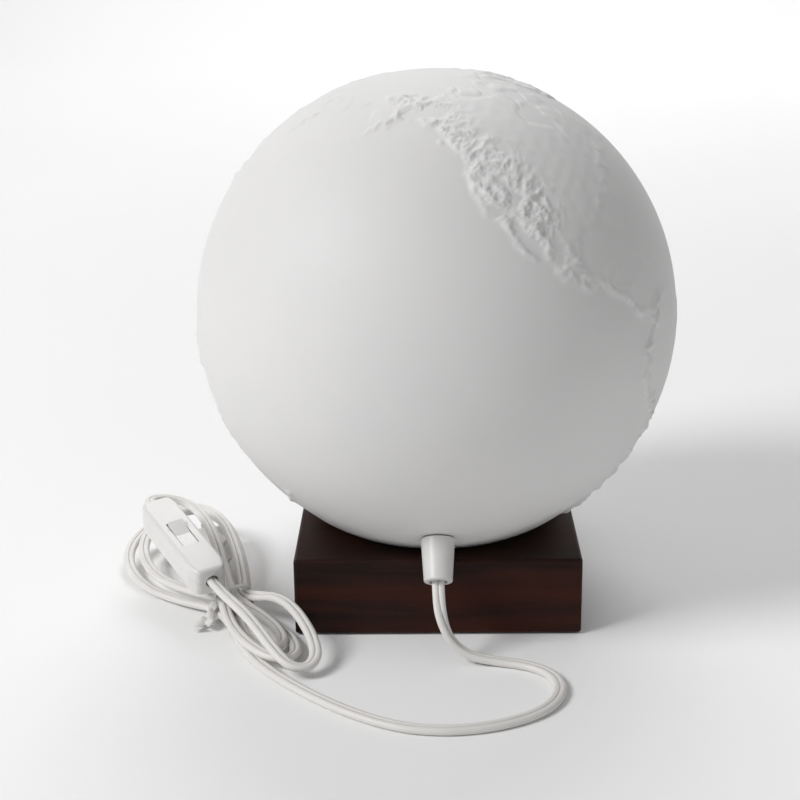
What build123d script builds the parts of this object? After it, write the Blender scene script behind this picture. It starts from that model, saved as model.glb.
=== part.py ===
from build123d import *
import os
from math import atan2, cos, hypot, pi, radians, sin, sqrt, tan

# Globe table lamp: a hollow globe rests in the turned dish of a square wooden block.
# Millimetres, Z up. The origin is the centre of the block's footprint, on the table.
# The cord leaves on the -Y side. The globe's poles stand upright.

os.makedirs("parts", exist_ok=True)

# Block, dish and pads
base_side = 140.0
base_top = 40.0
base_edge_radius = 1.6
dish_depth = 14.3
pad_radius = 6.0
pad_thickness = 2.0
pad_proud = 0.8
pad_inset = 14.0
pad_fit = 0.2

# Globe
globe_radius = 120.0
globe_wall = 3.0
seat_gap = 0.3
service_radius = 38.0
grip_angle = 39.0

# Cord grip, nipple and its fastenings, along the axis of the lampholder
grip_root_radius = 8.35
grip_end_radius = 6.8
grip_length = 20.5
grip_recess_radius = 4.4
grip_recess_depth = 3.0
grip_edge_radius = 0.8
grip_gap = 0.1
nipple_radius = 5.0
nipple_bore_radius = 3.6
nipple_in_grip = 12.5
nipple_in_cap = 6.0
thread_fit = 0.05
wall_hole_fit = 0.25
washer_radius = 9.0
washer_thickness = 1.0
nut_flats = 14.0
nut_thickness = 3.5
stack_gap = 0.1

# Lampholder
cap_neck_radius = 7.6
cap_neck_length = 7.0
cap_shoulder_length = 5.5
cap_length = 19.0
holder_radius = 14.0
holder_wall = 1.7
skirt_length = 33.0
skirt_shoulder_radius = 9.0
skirt_shoulder_thickness = 1.5
insert_thickness = 8.0
insert_in_cap = 3.0
insert_fit = 0.15
contact_shell_radius = 7.25
contact_shell_wall = 0.45
contact_shell_length = 20.0
contact_strip_thickness = 0.4
contact_strip_width = 4.0
contact_strip_inset = 1.2
contact_rise = 3.0
terminal_width = 5.0
terminal_height = 5.0
terminal_floor = 1.0
terminal_spread = 13.0
terminal_screw_radius = 1.5
terminal_screw_length = 3.0
core_radius = 0.9
core_fit = 0.3
core_spread = 2.8
core_end = 13.0
core_bend = 3.6
core_lead_in = 0.6

# Bulb
bulb_cap_radius = 6.95
bulb_cap_length = 20.0
bulb_tip_radius = 4.6
bulb_tip_length = 2.6
bulb_neck_radius = 8.5
bulb_neck_length = 3.0
bulb_housing_radius = 19.0
bulb_housing_length = 26.0
bulb_globe_radius = 22.5
bulb_globe_wall = 1.2
board_radius = 14.0
board_thickness = 1.6
bulb_tip_gap = 0.3

# Cord and its hank
cord_diameter = 6.0
cord_bore_fit = 0.3
cord_end_gap = 0.1
cord_in_switch = 9.0
cord_bore_spare = 2.0
bore_run_out = 1.0
straight_from_grip = 9.0
straight_from_switch = 5.0
bend_before_switch = 13.0
straight_from_plug = 13.0
layer_pitch = 7.1
place_pitch = 7.0
waist_lift = 1.4
waist_x = -103.0
waist_y = -46.0
upper_direction = 110.0
lower_direction = -61.0
lobe_steps = 10
lobe_rise = 15.2

# Inline switch
switch_centre = (-129.5, -30.0, 31.5)
switch_yaw = 123.0
switch_pitch = 13.0
switch_roll = 4.0
switch_length = 68.0
switch_width = 18.5
switch_end_width = 15.0
switch_height = 15.0
switch_wall = 1.8
switch_edge_radius = 2.0
switch_corner_radius = 3.6
switch_taper_length = 7.0
switch_joint_gap = 0.1
rocker_length = 18.6
rocker_width = 8.0
rocker_gap = 0.5
rocker_tip_height = 5.0
rocker_base_depth = 2.4
rocker_side_draft = 0.5
rocker_rest_angle = 9.0
pin_height = 3.5
pin_radius = 0.8
pin_fit = 0.05
ear_thickness = 1.6
ear_length = 5.0
ear_depth = 5.2
bridge_length = 12.0
bridge_width = 7.0
bridge_thickness = 0.5
contact_thickness = 0.6
contact_gap = 0.3
contact_width = 2.6
clamp_length = 5.0
clamp_height = 1.6
clamp_width = 11.0
clamp_inset = 5.4
clamp_screw_spread = 8.9
clamp_screw_radius = 0.8
case_screw_spread = 34.0
case_screw_length = 11.0
screw_radius = 1.3
screw_head_radius = 2.3
screw_head_height = 1.6
boss_radius = 2.8
screw_fit = 0.05
screw_end_gap = 0.4

# Plug
plug_distance = 52.0
plug_across = -1.0
plug_length = 34.0
plug_front_width = 35.0
plug_back_width = 13.0
plug_taper_length = 18.0
plug_thickness = 13.6
plug_edge_radius = 2.0
plug_corner_radius = 3.0
plug_relief_length = 20.0
plug_relief_radius = 5.6
plug_relief_end_radius = 4.2
plug_relief_root = 1.0
cord_in_plug = 10.0
plug_pin_radius = 2.0
plug_pin_length = 19.0
plug_sleeve_length = 10.0
plug_sleeve_wall = 0.35
plug_pin_spacing = 18.6
plug_pin_socket = 7.0

# Paper tie round the waist of the hank
tie_width = 3.2
tie_thickness = 0.6
tie_clearance = 0.7
tie_side_clearance = 3.0
tie_tail_width = 6.0
tie_tail_length = 16.0
tie_tail_turn = -108.0

# Places that follow from the sizes above
globe_centre = base_top - dish_depth + seat_gap + globe_radius
inner_radius = globe_radius - globe_wall
dish_angle = radians(grip_angle)
holder_section = Plane(
    origin=(0, -globe_radius * sin(dish_angle), globe_centre - globe_radius * cos(dish_angle)),
    x_dir=(1, 0, 0),
    z_dir=(0, -cos(dish_angle), sin(dish_angle)),
)
holder_axis = Axis(holder_section.origin, holder_section.y_dir)
washer_start = globe_radius - sqrt(inner_radius**2 - washer_radius**2) + stack_gap
nut_start = washer_start + washer_thickness + stack_gap
cap_start = nut_start + nut_thickness + stack_gap
cap_end = cap_start + cap_length
insert_start = cap_end - insert_in_cap
insert_end = insert_start + insert_thickness
shell_start = insert_end + stack_gap
bulb_start = shell_start + contact_rise + bulb_tip_gap
bulb_cap_start = bulb_start + bulb_tip_length
housing_start = bulb_cap_start + bulb_cap_length
housing_end = housing_start + bulb_neck_length + bulb_housing_length
nipple_start = stack_gap - nipple_in_grip
nipple_end = cap_start + nipple_in_cap
cord_radius = cord_diameter / 2


def ring(inner, outer, start, end):
    """Half section of a turned ring, from one radius to the other along the holder's axis."""
    with Locations(((inner + outer) / 2, (start + end) / 2)):
        Rectangle(outer - inner, end - start)


# Wooden block, with the dish turned in its top and four seats for pads underneath
with BuildPart() as base_block:
    with BuildSketch(Plane.XY.offset(pad_proud)):
        Rectangle(base_side, base_side)
    extrude(amount=base_top - pad_proud)
    fillet(base_block.edges(), base_edge_radius)
    with Locations((0, 0, globe_centre)):
        Sphere(globe_radius + seat_gap, mode=Mode.SUBTRACT)
    with BuildSketch(Plane.XY.offset(pad_proud)):
        with GridLocations(base_side - 2 * pad_inset, base_side - 2 * pad_inset, 2, 2):
            Circle(pad_radius + pad_fit)
    extrude(amount=pad_thickness - pad_proud, mode=Mode.SUBTRACT)
base_block.part.label = "base_block"
export_step(base_block.part, "parts/base_block.step")

# Four thin pads, proud of the block's underside
with BuildPart() as foot_pads:
    with BuildSketch(Plane.XY):
        with GridLocations(base_side - 2 * pad_inset, base_side - 2 * pad_inset, 2, 2):
            Circle(pad_radius)
    extrude(amount=pad_thickness)
foot_pads.part.label = "foot_pads"
export_step(foot_pads.part, "parts/foot_pads.step")

# Globe wall, with the round service opening at its lower pole and the hole for the nipple
with BuildPart() as globe_shell:
    with Locations((0, 0, globe_centre)):
        Sphere(globe_radius)
        Sphere(inner_radius, mode=Mode.SUBTRACT)
    with BuildSketch(Plane.XY):
        Circle(service_radius)
    extrude(amount=globe_centre, mode=Mode.SUBTRACT)
    with BuildSketch(holder_section):
        ring(0, nipple_radius + wall_hole_fit, -globe_wall, 2 * globe_wall)
    revolve(axis=holder_axis, mode=Mode.SUBTRACT)
globe_shell.part.label = "globe_shell"
export_step(globe_shell.part, "parts/globe_shell.step")

# Tapered cord grip, its root cut to the globe and its end recessed round the cord
with BuildPart() as cord_grip:
    with BuildSketch(holder_section):
        with BuildLine():
            Polyline(
                (cord_radius + cord_bore_fit, grip_recess_depth - grip_length),
                (grip_recess_radius, grip_recess_depth - grip_length),
                (grip_recess_radius, -grip_length),
                (grip_end_radius, -grip_length),
                (grip_root_radius, globe_wall),
                (nipple_radius + thread_fit, globe_wall),
                (nipple_radius + thread_fit, -nipple_in_grip),
                (cord_radius + cord_bore_fit, -nipple_in_grip),
                close=True,
            )
        make_face()
    revolve(axis=holder_axis)
    grip_end_edges = cord_grip.edges().sort_by(holder_axis).group_by(holder_axis)[0]
    fillet(grip_end_edges.sort_by(SortBy.LENGTH)[-1], grip_edge_radius)
    with Locations((0, 0, globe_centre)):
        Sphere(globe_radius + grip_gap, mode=Mode.SUBTRACT)
cord_grip.part.label = "cord_grip"
export_step(cord_grip.part, "parts/cord_grip.step")

# Hollow threaded nipple, from the grip through the wall into the lampholder's cap
with BuildPart() as nipple:
    with BuildSketch(holder_section):
        ring(nipple_bore_radius, nipple_radius, nipple_start, nipple_end)
    revolve(axis=holder_axis)
nipple.part.label = "nipple"
export_step(nipple.part, "parts/nipple.step")

# Washer behind the wall
with BuildPart() as wall_washer:
    with BuildSketch(holder_section):
        ring(nipple_radius + thread_fit, washer_radius, washer_start, washer_start + washer_thickness)
    revolve(axis=holder_axis)
wall_washer.part.label = "wall_washer"
export_step(wall_washer.part, "parts/wall_washer.step")

# Hexagon nut that pulls the grip to the wall
with BuildPart() as lock_nut:
    with BuildSketch(Plane(holder_section.origin + holder_section.y_dir * nut_start, x_dir=(1, 0, 0),
                           z_dir=holder_section.y_dir)):
        RegularPolygon(nut_flats / 2, 6, major_radius=False)
        Circle(nipple_radius + thread_fit, mode=Mode.SUBTRACT)
    extrude(amount=nut_thickness)
lock_nut.part.label = "lock_nut"
export_step(lock_nut.part, "parts/lock_nut.step")

# Cap of the lampholder: threaded neck, then a shoulder out to the full width
with BuildPart() as holder_cap:
    with BuildSketch(holder_section):
        with BuildLine():
            Polyline(
                (nipple_radius + thread_fit, cap_start),
                (cap_neck_radius, cap_start),
                (cap_neck_radius, cap_start + cap_neck_length),
                (holder_radius, cap_start + cap_neck_length + cap_shoulder_length),
                (holder_radius, cap_end),
                (holder_radius - holder_wall, cap_end),
                (holder_radius - holder_wall, cap_start + cap_neck_length + cap_shoulder_length + holder_wall / 2),
                (cap_neck_radius - holder_wall / 2, cap_start + cap_neck_length + holder_wall),
                (nipple_radius + thread_fit, cap_start + cap_neck_length + holder_wall),
                close=True,
            )
        make_face()
    revolve(axis=holder_axis)
holder_cap.part.label = "holder_cap"
export_step(holder_cap.part, "parts/holder_cap.step")

# Insulating insert, held between the cap and the skirt's inner shoulder
with BuildPart() as holder_insert:
    with BuildSketch(holder_section):
        ring(0, holder_radius - holder_wall - insert_fit, insert_start, insert_end)
    revolve(axis=holder_axis)
holder_insert.part.label = "holder_insert"
export_step(holder_insert.part, "parts/holder_insert.step")

# Skirt of the lampholder, screwed on against the cap
with BuildPart() as holder_skirt:
    with BuildSketch(holder_section):
        ring(holder_radius - holder_wall, holder_radius, cap_end + stack_gap, cap_end + skirt_length)
        ring(skirt_shoulder_radius, holder_radius - holder_wall, shell_start,
             shell_start + skirt_shoulder_thickness)
    revolve(axis=holder_axis)
holder_skirt.part.label = "holder_skirt"
export_step(holder_skirt.part, "parts/holder_skirt.step")

# Thread shell that takes the bulb's cap
with BuildPart() as holder_thread:
    with BuildSketch(holder_section):
        ring(contact_shell_radius, contact_shell_radius + contact_shell_wall, shell_start,
             shell_start + contact_shell_length)
    revolve(axis=holder_axis)
holder_thread.part.label = "holder_thread"
export_step(holder_thread.part, "parts/holder_thread.step")

# Sprung tongue under the bulb's tip
with BuildPart() as centre_contact:
    with BuildSketch(holder_section):
        with BuildLine():
            Polyline(
                (contact_shell_radius - contact_strip_inset, shell_start),
                (contact_shell_radius - contact_strip_inset, shell_start + contact_strip_thickness),
                (contact_shell_radius / 2, shell_start + contact_strip_thickness),
                (-contact_strip_width / 2, shell_start + contact_rise),
                (-contact_strip_width / 2, shell_start + contact_rise - contact_strip_thickness),
                (contact_shell_radius / 2, shell_start),
                close=True,
            )
        make_face()
    extrude(amount=contact_strip_width / 2, both=True)
centre_contact.part.label = "centre_contact"
export_step(centre_contact.part, "parts/centre_contact.step")

# Two terminal blocks on the back of the insert, each with a hole for its core
terminal_start = insert_start - stack_gap - terminal_height
with BuildPart() as terminal_blocks:
    with BuildSketch(holder_section):
        for side in (-1, 1):
            with Locations((side * terminal_spread / 2, terminal_start + terminal_height / 2)):
                Rectangle(terminal_width, terminal_height)
    extrude(amount=terminal_width / 2, both=True)
    with BuildSketch(Plane(holder_section.origin + holder_section.y_dir * terminal_start, x_dir=(1, 0, 0),
                           z_dir=holder_section.y_dir)):
        with GridLocations(terminal_spread, 1, 2, 1):
            Circle(core_radius + core_fit)
    extrude(amount=terminal_height - terminal_floor, mode=Mode.SUBTRACT)
    with BuildSketch(holder_section.offset(core_radius + core_fit)):
        for side in (-1, 1):
            with Locations((side * terminal_spread / 2, terminal_start + terminal_height / 2)):
                Circle(terminal_screw_radius + screw_fit)
    extrude(amount=terminal_width, mode=Mode.SUBTRACT)
terminal_blocks.part.label = "terminal_blocks"
export_step(terminal_blocks.part, "parts/terminal_blocks.step")

# Grub screws that press the cores
with BuildPart() as terminal_screws:
    with BuildSketch(holder_section.offset(core_radius + core_fit)):
        for side in (-1, 1):
            with Locations((side * terminal_spread / 2, terminal_start + terminal_height / 2)):
                Circle(terminal_screw_radius)
    extrude(amount=terminal_screw_length)
terminal_screws.part.label = "terminal_screws"
export_step(terminal_screws.part, "parts/terminal_screws.step")

# End of the cord inside the grip and the nipple
inner_cord_start = grip_recess_depth - grip_length
with BuildPart() as inner_cord:
    with BuildSketch(holder_section):
        ring(0, cord_radius, inner_cord_start, core_end)
    revolve(axis=holder_axis)
inner_cord.part.label = "inner_cord"
export_step(inner_cord.part, "parts/inner_cord.step")


def corner_radii(points):
    """Arc radii for a route of straight runs: 0.45 of the shorter run over the tangent of half the turn."""
    radii = []
    for before, corner, after in zip(points, points[1:], points[2:]):
        run_in = Vector(corner) - Vector(before)
        run_out = Vector(after) - Vector(corner)
        half_turn = radians(run_in.get_angle(run_out)) / 2
        radii.append(0.45 * min(run_in.length, run_out.length) / tan(half_turn))
    return radii


# Two insulated cores from the cord's end to the terminals
core_run = [
    (core_spread / 2, core_end + stack_gap),
    (core_spread / 2, core_end + core_bend),
    (terminal_spread / 2, terminal_start - core_lead_in),
    (terminal_spread / 2, terminal_start + terminal_height / 2),
]
with BuildPart() as core_wires:
    for side in (-1, 1):
        points = [
            holder_section.origin + holder_section.x_dir * side * across + holder_section.y_dir * along
            for across, along in core_run
        ]
        with BuildLine() as core_path:
            FilletPolyline(*points, radius=corner_radii(points))
        with BuildSketch(Plane(origin=points[0], z_dir=holder_section.y_dir)):
            Circle(core_radius)
        sweep(path=core_path.wire())
core_wires.part.label = "core_wires"
export_step(core_wires.part, "parts/core_wires.step")

# Bulb: threaded cap
with BuildPart() as bulb_cap:
    with BuildSketch(holder_section):
        ring(bulb_tip_radius, bulb_cap_radius, bulb_cap_start, housing_start)
        ring(0, bulb_cap_radius, bulb_cap_start + bulb_tip_length, housing_start)
    revolve(axis=holder_axis)
bulb_cap.part.label = "bulb_cap"
export_step(bulb_cap.part, "parts/bulb_cap.step")

# Bulb: insulator and centre contact
with BuildPart() as bulb_tip:
    with BuildSketch(holder_section):
        with BuildLine():
            Polyline(
                (0, bulb_start),
                (bulb_tip_radius / 2, bulb_start),
                (bulb_tip_radius - stack_gap, bulb_cap_start),
                (bulb_tip_radius - stack_gap, bulb_cap_start + bulb_tip_length - stack_gap),
                (0, bulb_cap_start + bulb_tip_length - stack_gap),
                close=True,
            )
        make_face()
    revolve(axis=holder_axis)
bulb_tip.part.label = "bulb_tip"
export_step(bulb_tip.part, "parts/bulb_tip.step")

# Bulb: flared housing over its driver
with BuildPart() as bulb_housing:
    with BuildSketch(holder_section):
        with BuildLine():
            Line((0, housing_start + stack_gap), (bulb_neck_radius, housing_start + stack_gap))
            Line((bulb_neck_radius, housing_start + stack_gap), (bulb_neck_radius, housing_start + bulb_neck_length))
            Bezier(
                (bulb_neck_radius, housing_start + bulb_neck_length),
                (bulb_neck_radius, housing_start + bulb_neck_length + bulb_housing_length / 3),
                (bulb_housing_radius, housing_end - bulb_housing_length / 2),
                (bulb_housing_radius, housing_end),
            )
            Line((bulb_housing_radius, housing_end), (0, housing_end))
            Line((0, housing_end), (0, housing_start + stack_gap))
        make_face()
    revolve(axis=holder_axis)
bulb_housing.part.label = "bulb_housing"
export_step(bulb_housing.part, "parts/bulb_housing.step")

# Bulb: board of light emitting diodes on the housing
with BuildPart() as led_board:
    with BuildSketch(holder_section):
        ring(0, board_radius, housing_end + stack_gap, housing_end + stack_gap + board_thickness)
    revolve(axis=holder_axis)
led_board.part.label = "led_board"
export_step(led_board.part, "parts/led_board.step")

# Bulb: round diffuser, open over the board
diffuser_mouth = bulb_housing_radius - bulb_globe_wall
diffuser_centre = housing_end + stack_gap + sqrt(bulb_globe_radius**2 - diffuser_mouth**2)
with BuildPart() as bulb_diffuser:
    with Locations(holder_section.origin + holder_section.y_dir * diffuser_centre):
        Sphere(bulb_globe_radius)
        Sphere(bulb_globe_radius - bulb_globe_wall, mode=Mode.SUBTRACT)
    with BuildSketch(holder_section):
        ring(0, bulb_globe_radius, housing_end + stack_gap - bulb_globe_radius, housing_end + stack_gap)
    revolve(axis=holder_axis, mode=Mode.SUBTRACT)
bulb_diffuser.part.label = "bulb_diffuser"
export_step(bulb_diffuser.part, "parts/bulb_diffuser.step")


def at_waist(along, across, direction):
    """A place in plan, measured from the waist of the hank along a direction and to its right."""
    step = radians(direction)
    return (
        waist_x + along * cos(step) + across * sin(step),
        waist_y + along * sin(step) - across * cos(step),
    )


def strand(place, level):
    """Where a strand crosses the waist: places -1, 0 and 1 lie side by side, levels lie on each other."""
    x, y = at_waist(0, place * place_pitch, (upper_direction + lower_direction + 180) / 2)
    return (x, y, cord_radius + level * layer_pitch + waist_lift)


def lobe(direction, length, out_width, back_width, levels, rise=0.0, places=(-1, 1)):
    """One lobe of the hank: out along its left side, round the far end and back along its right."""
    points = []
    for step in range(1, lobe_steps):
        share = step / lobe_steps
        reach = sin(pi * share) ** 1.6
        place, width = (places[0], out_width) if share < 0.5 else (places[1], back_width)
        across = 0.9 * place * place_pitch * (1 - reach) - width * sin(2 * pi * share) * reach**0.25
        level = levels[0] + (levels[1] - levels[0]) * min(1, max(0, 2.2 * share - 0.5))
        height = cord_radius + level * layer_pitch + waist_lift * max(0, 1 - 5 * reach)
        height += rise * max(0, min(1, 4 * share - 0.9, 4.5 - 5 * share))
        points.append((*at_waist(length * reach, across, direction), height))
    return points


# The switch lies on the hank: its own plane, X along the cord and Z out of its top
switch_dir = Vector(
    cos(radians(switch_yaw)) * cos(radians(switch_pitch)),
    sin(radians(switch_yaw)) * cos(radians(switch_pitch)),
    sin(radians(switch_pitch)),
)
switch_level_side = Vector(switch_dir.Y, -switch_dir.X, 0).normalized()
switch_up = (
    switch_level_side.cross(switch_dir) * cos(radians(switch_roll))
    - switch_level_side * sin(radians(switch_roll))
)
switch_plane = Plane(origin=switch_centre, x_dir=switch_dir, z_dir=switch_up)


def along_switch(distance, shift=(0, 0, 0)):
    """A point on the switch's long axis, moved by a small shift."""
    return tuple(Vector(switch_centre) + switch_dir * distance + Vector(shift))


# The plug lies flat on the table inside the upper lobe: its own plane, X out of its pins
plug_dir = Vector(cos(radians(upper_direction)), sin(radians(upper_direction)), 0)
plug_plane = Plane(
    origin=(*at_waist(plug_distance, plug_across, upper_direction), plug_thickness / 2),
    x_dir=plug_dir,
    z_dir=(0, 0, 1),
)


def along_plug(distance):
    """A point on the plug's long axis, measured from its back face."""
    return tuple(plug_plane.origin + plug_dir * distance)


# Free run of the cord, from the grip's recess down to the table and round to the hank
grip_end_point = holder_section.origin + holder_section.y_dir * (inner_cord_start - cord_end_gap)
free_route = [
    tuple(grip_end_point),
    tuple(grip_end_point - holder_section.y_dir * straight_from_grip),
    (1.2, -97.0, 22.0),
    (5.7, -99.6, 11.6),
    (15.2, -100.6, 5.0),
    (28.2, -101.6, 3.0),
    (42.0, -105.5, 3.0),
    (52.5, -114.0, 3.0),
    (56.0, -128.0, 3.0),
    (51.0, -143.0, 3.0),
    (39.0, -154.5, 3.0),
    (22.0, -162.5, 3.0),
    (2.0, -165.8, 3.0),
    (-18.0, -162.5, 3.0),
    (-38.0, -151.0, 3.0),
    (-57.0, -135.0, 3.0),
    (-75.0, -116.0, 3.0),
    (-90.5, -94.0, 3.0),
]
hank_route = [strand(-1, 0)]
hank_route += lobe(upper_direction, 107, 46, 17, (0, 0), rise=lobe_rise)
hank_route += [strand(1, 0)]
hank_route += lobe(lower_direction - 1, 66, 13, 11, (0, 1))
hank_route += [strand(-1, 1)]
hank_route += lobe(upper_direction, 100, 37, 13, (1, 1), rise=lobe_rise)
hank_route += [strand(1, 1)]
hank_route += [
    (-90.0, -52.5, 14.5),
    (-81.0, -61.0, 18.0),
    (-72.6, -74.8, 21.0),
    (-65.5, -86.5, 19.0),
    (-59.5, -97.0, 14.0),
    (-57.0, -106.5, 9.5),
    (-61.0, -114.0, 8.0),
    (-69.0, -115.5, 10.0),
    (-77.5, -106.5, 14.5),
    (-85.5, -94.0, 18.5),
    (-94.0, -82.0, 21.0),
    along_switch(-switch_length / 2 - bend_before_switch, (1.5, -1, 0)),
    along_switch(-switch_length / 2 - straight_from_switch),
    along_switch(-switch_length / 2 + cord_in_switch),
]
hank_start = tuple((Vector(free_route[-1]) + Vector(hank_route[0])) / 2)
free_route += [hank_start]
hank_route = [hank_start] + hank_route
lead_route = [
    along_switch(switch_length / 2 - cord_in_switch),
    along_switch(switch_length / 2 + straight_from_switch),
    (-152.5, 9.0, 40.5),
    (-147.5, 18.0, 38.5),
    (-138.5, 21.5, 35.5),
    (-129.5, 18.0, 32.5),
    (-122.5, 9.0, 29.0),
    (-117.0, -3.0, 25.0),
    (-112.5, -16.0, 20.3),
    (-108.0, -30.0, 15.0),
    strand(0, 1),
]
lead_route += lobe(lower_direction + 2, 52, 8, 8, (1, 0), places=(0.35, -0.9))
lead_route += [
    strand(0, 0),
    along_plug(-plug_relief_length - straight_from_plug),
    along_plug(cord_in_plug - plug_relief_length),
]


def cord_tube(name, points):
    """Round tube along straight runs joined by tangent arcs. Prints its radii, length and volume share."""
    radii = corner_radii(points)
    with BuildPart() as tube:
        with BuildLine() as path:
            FilletPolyline(*points, radius=radii)
        with BuildSketch(Plane(origin=points[0], z_dir=Vector(points[1]) - Vector(points[0]))):
            Circle(cord_radius)
        sweep(path=path.wire())
    length = path.wire().length
    share = tube.part.volume / (pi * cord_radius**2 * length)
    print(name, "length", round(length, 1), "volume share", round(share, 4))
    print(name, "radii", [round(radius, 1) for radius in radii])
    tube.part.label = name
    export_step(tube.part, f"parts/{name}.step")
    return path.wire()


def least_gap(label, first, second, samples=700):
    """Print the least gap between two tubes, or of one tube to itself, on points along their centrelines."""
    spots = [[wire.position_at(i / samples) for i in range(samples + 1)] for wire in (first, second)]
    near_run = 3 * cord_diameter / first.length * samples if first is second else -1
    gap, spot = min(
        ((a - b).length - cord_diameter, i)
        for i, a in enumerate(spots[0])
        for j, b in enumerate(spots[1])
        if abs(i - j) > near_run
    )
    place = spots[0][spot]
    print("least gap,", label, round(gap, 2), "at", round(place.X), round(place.Y), round(place.Z))


free_path = cord_tube("cord_free", free_route)
hank_path = cord_tube("cord_hank", hank_route)
lead_path = cord_tube("cord_plug_lead", lead_route)
least_gap("hank to itself", hank_path, hank_path)
least_gap("lead to itself", lead_path, lead_path)
least_gap("hank to lead", hank_path, lead_path)
least_gap("free run to lead", free_path, lead_path)


# Plan of the switch, blunt at its ends, and of the hollow inside its wall
switch_shoulder = switch_length / 2 - switch_taper_length
with BuildSketch() as switch_plan:
    with BuildLine():
        Polyline(
            (switch_length / 2, switch_end_width / 2),
            (switch_shoulder, switch_width / 2),
            (-switch_shoulder, switch_width / 2),
            (-switch_length / 2, switch_end_width / 2),
            (-switch_length / 2, -switch_end_width / 2),
            (-switch_shoulder, -switch_width / 2),
            (switch_shoulder, -switch_width / 2),
            (switch_length / 2, -switch_end_width / 2),
            close=True,
        )
    make_face()
    fillet(switch_plan.vertices(), switch_corner_radius)
with BuildSketch() as switch_hollow:
    add(switch_plan.sketch)
    offset(amount=-switch_wall, mode=Mode.REPLACE)

clamp_x = switch_length / 2 - clamp_inset
post_top = cord_radius
half_height = switch_height / 2
floor_z = switch_wall - half_height
switch_up_axis = Axis(switch_plane.origin, switch_plane.z_dir)
pin_plane = Plane(
    origin=switch_plane.origin + switch_plane.z_dir * pin_height,
    x_dir=switch_dir,
    z_dir=switch_plane.y_dir * -1,
)
rocker_tilt = radians(rocker_rest_angle)
rocker_plane = Plane(
    origin=pin_plane.origin,
    x_dir=switch_dir * cos(rocker_tilt) + switch_plane.z_dir * sin(rocker_tilt),
    z_dir=pin_plane.z_dir,
)
plug_front = Plane(origin=along_plug(plug_length), x_dir=plug_plane.y_dir, z_dir=plug_dir)
rocker_half = rocker_length / 2
rocker_reach = hypot(rocker_half, rocker_tip_height)
window_half = rocker_reach * cos(atan2(rocker_tip_height, rocker_half) - rocker_tilt) + rocker_gap


def switch_end_plane(end):
    """A plane just outside one end of the switch, from which the bore for the cord is cut inwards."""
    return Plane(origin=along_switch(end * (switch_length / 2 + bore_run_out)), z_dir=switch_dir * -end)


# Lower shell: hollow, with posts beside each cord, bosses for the case screws and seats for their heads
with BuildPart() as switch_bottom:
    with BuildSketch(switch_plane.offset(-half_height)):
        add(switch_plan.sketch)
    extrude(amount=half_height - switch_joint_gap / 2)
    fillet(switch_bottom.edges().group_by(switch_up_axis)[0], switch_edge_radius)
    with BuildSketch(switch_plane.offset(floor_z)):
        add(switch_hollow.sketch)
    extrude(amount=half_height, mode=Mode.SUBTRACT)
    with BuildSketch(switch_plane.offset(floor_z)):
        with Locations((-clamp_x, 0), (clamp_x, 0)):
            Rectangle(clamp_length, clamp_width)
    extrude(amount=post_top - floor_z)
    with BuildSketch(switch_plane.offset(floor_z)):
        with GridLocations(case_screw_spread, 1, 2, 1):
            Circle(boss_radius)
    extrude(amount=-floor_z - switch_joint_gap / 2)
    for end in (-1, 1):
        with BuildSketch(switch_end_plane(end)):
            Circle(cord_radius + cord_bore_fit)
        extrude(amount=bore_run_out + cord_in_switch + cord_bore_spare, mode=Mode.SUBTRACT)
    with BuildSketch(switch_plane.offset(-half_height)):
        with GridLocations(case_screw_spread, 1, 2, 1):
            Circle(screw_head_radius + cord_bore_fit)
    extrude(amount=screw_head_height, mode=Mode.SUBTRACT)
    with BuildSketch(switch_plane.offset(-half_height)):
        with GridLocations(case_screw_spread, 1, 2, 1):
            Circle(screw_radius + screw_fit)
    extrude(amount=half_height, mode=Mode.SUBTRACT)
    with BuildSketch(switch_plane.offset(post_top - 2 * clamp_height)):
        with GridLocations(2 * clamp_x, clamp_screw_spread, 2, 2):
            Circle(clamp_screw_radius + screw_fit)
    extrude(amount=2 * clamp_height, mode=Mode.SUBTRACT)
switch_bottom.part.label = "switch_bottom"
export_step(switch_bottom.part, "parts/switch_bottom.step")

# Upper shell: hollow, with the rocker's window, two ears for its pin and bosses over the case screws
with BuildPart() as switch_top:
    with BuildSketch(switch_plane.offset(half_height)):
        add(switch_plan.sketch)
    extrude(amount=switch_joint_gap / 2 - half_height)
    fillet(switch_top.edges().group_by(switch_up_axis)[-1], switch_edge_radius)
    with BuildSketch(switch_plane.offset(-floor_z)):
        add(switch_hollow.sketch)
    extrude(amount=-half_height, mode=Mode.SUBTRACT)
    with BuildSketch(switch_plane.offset(-floor_z)):
        for side in (-1, 1):
            with Locations((0, side * (rocker_width / 2 + rocker_gap + ear_thickness / 2))):
                Rectangle(ear_length, ear_thickness)
    extrude(amount=-ear_depth)
    with BuildSketch(switch_plane.offset(-floor_z)):
        with GridLocations(case_screw_spread, 1, 2, 1):
            Circle(boss_radius)
    extrude(amount=floor_z + switch_joint_gap / 2)
    with BuildSketch(switch_plane.offset(half_height)):
        Rectangle(2 * window_half, rocker_width + 2 * rocker_gap)
    extrude(amount=-switch_wall, mode=Mode.SUBTRACT)
    for end in (-1, 1):
        with BuildSketch(switch_end_plane(end)):
            Circle(cord_radius + cord_bore_fit)
        extrude(amount=bore_run_out + cord_in_switch + cord_bore_spare, mode=Mode.SUBTRACT)
    with BuildSketch(switch_plane):
        with GridLocations(case_screw_spread, 1, 2, 1):
            Circle(screw_radius + screw_fit)
    extrude(amount=case_screw_length - half_height + screw_end_gap, mode=Mode.SUBTRACT)
    with BuildSketch(pin_plane):
        Circle(pin_radius + pin_fit)
    extrude(amount=switch_width / 2 - switch_wall, both=True, mode=Mode.SUBTRACT)
switch_top.part.label = "switch_top"
export_step(switch_top.part, "parts/switch_top.step")

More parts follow.
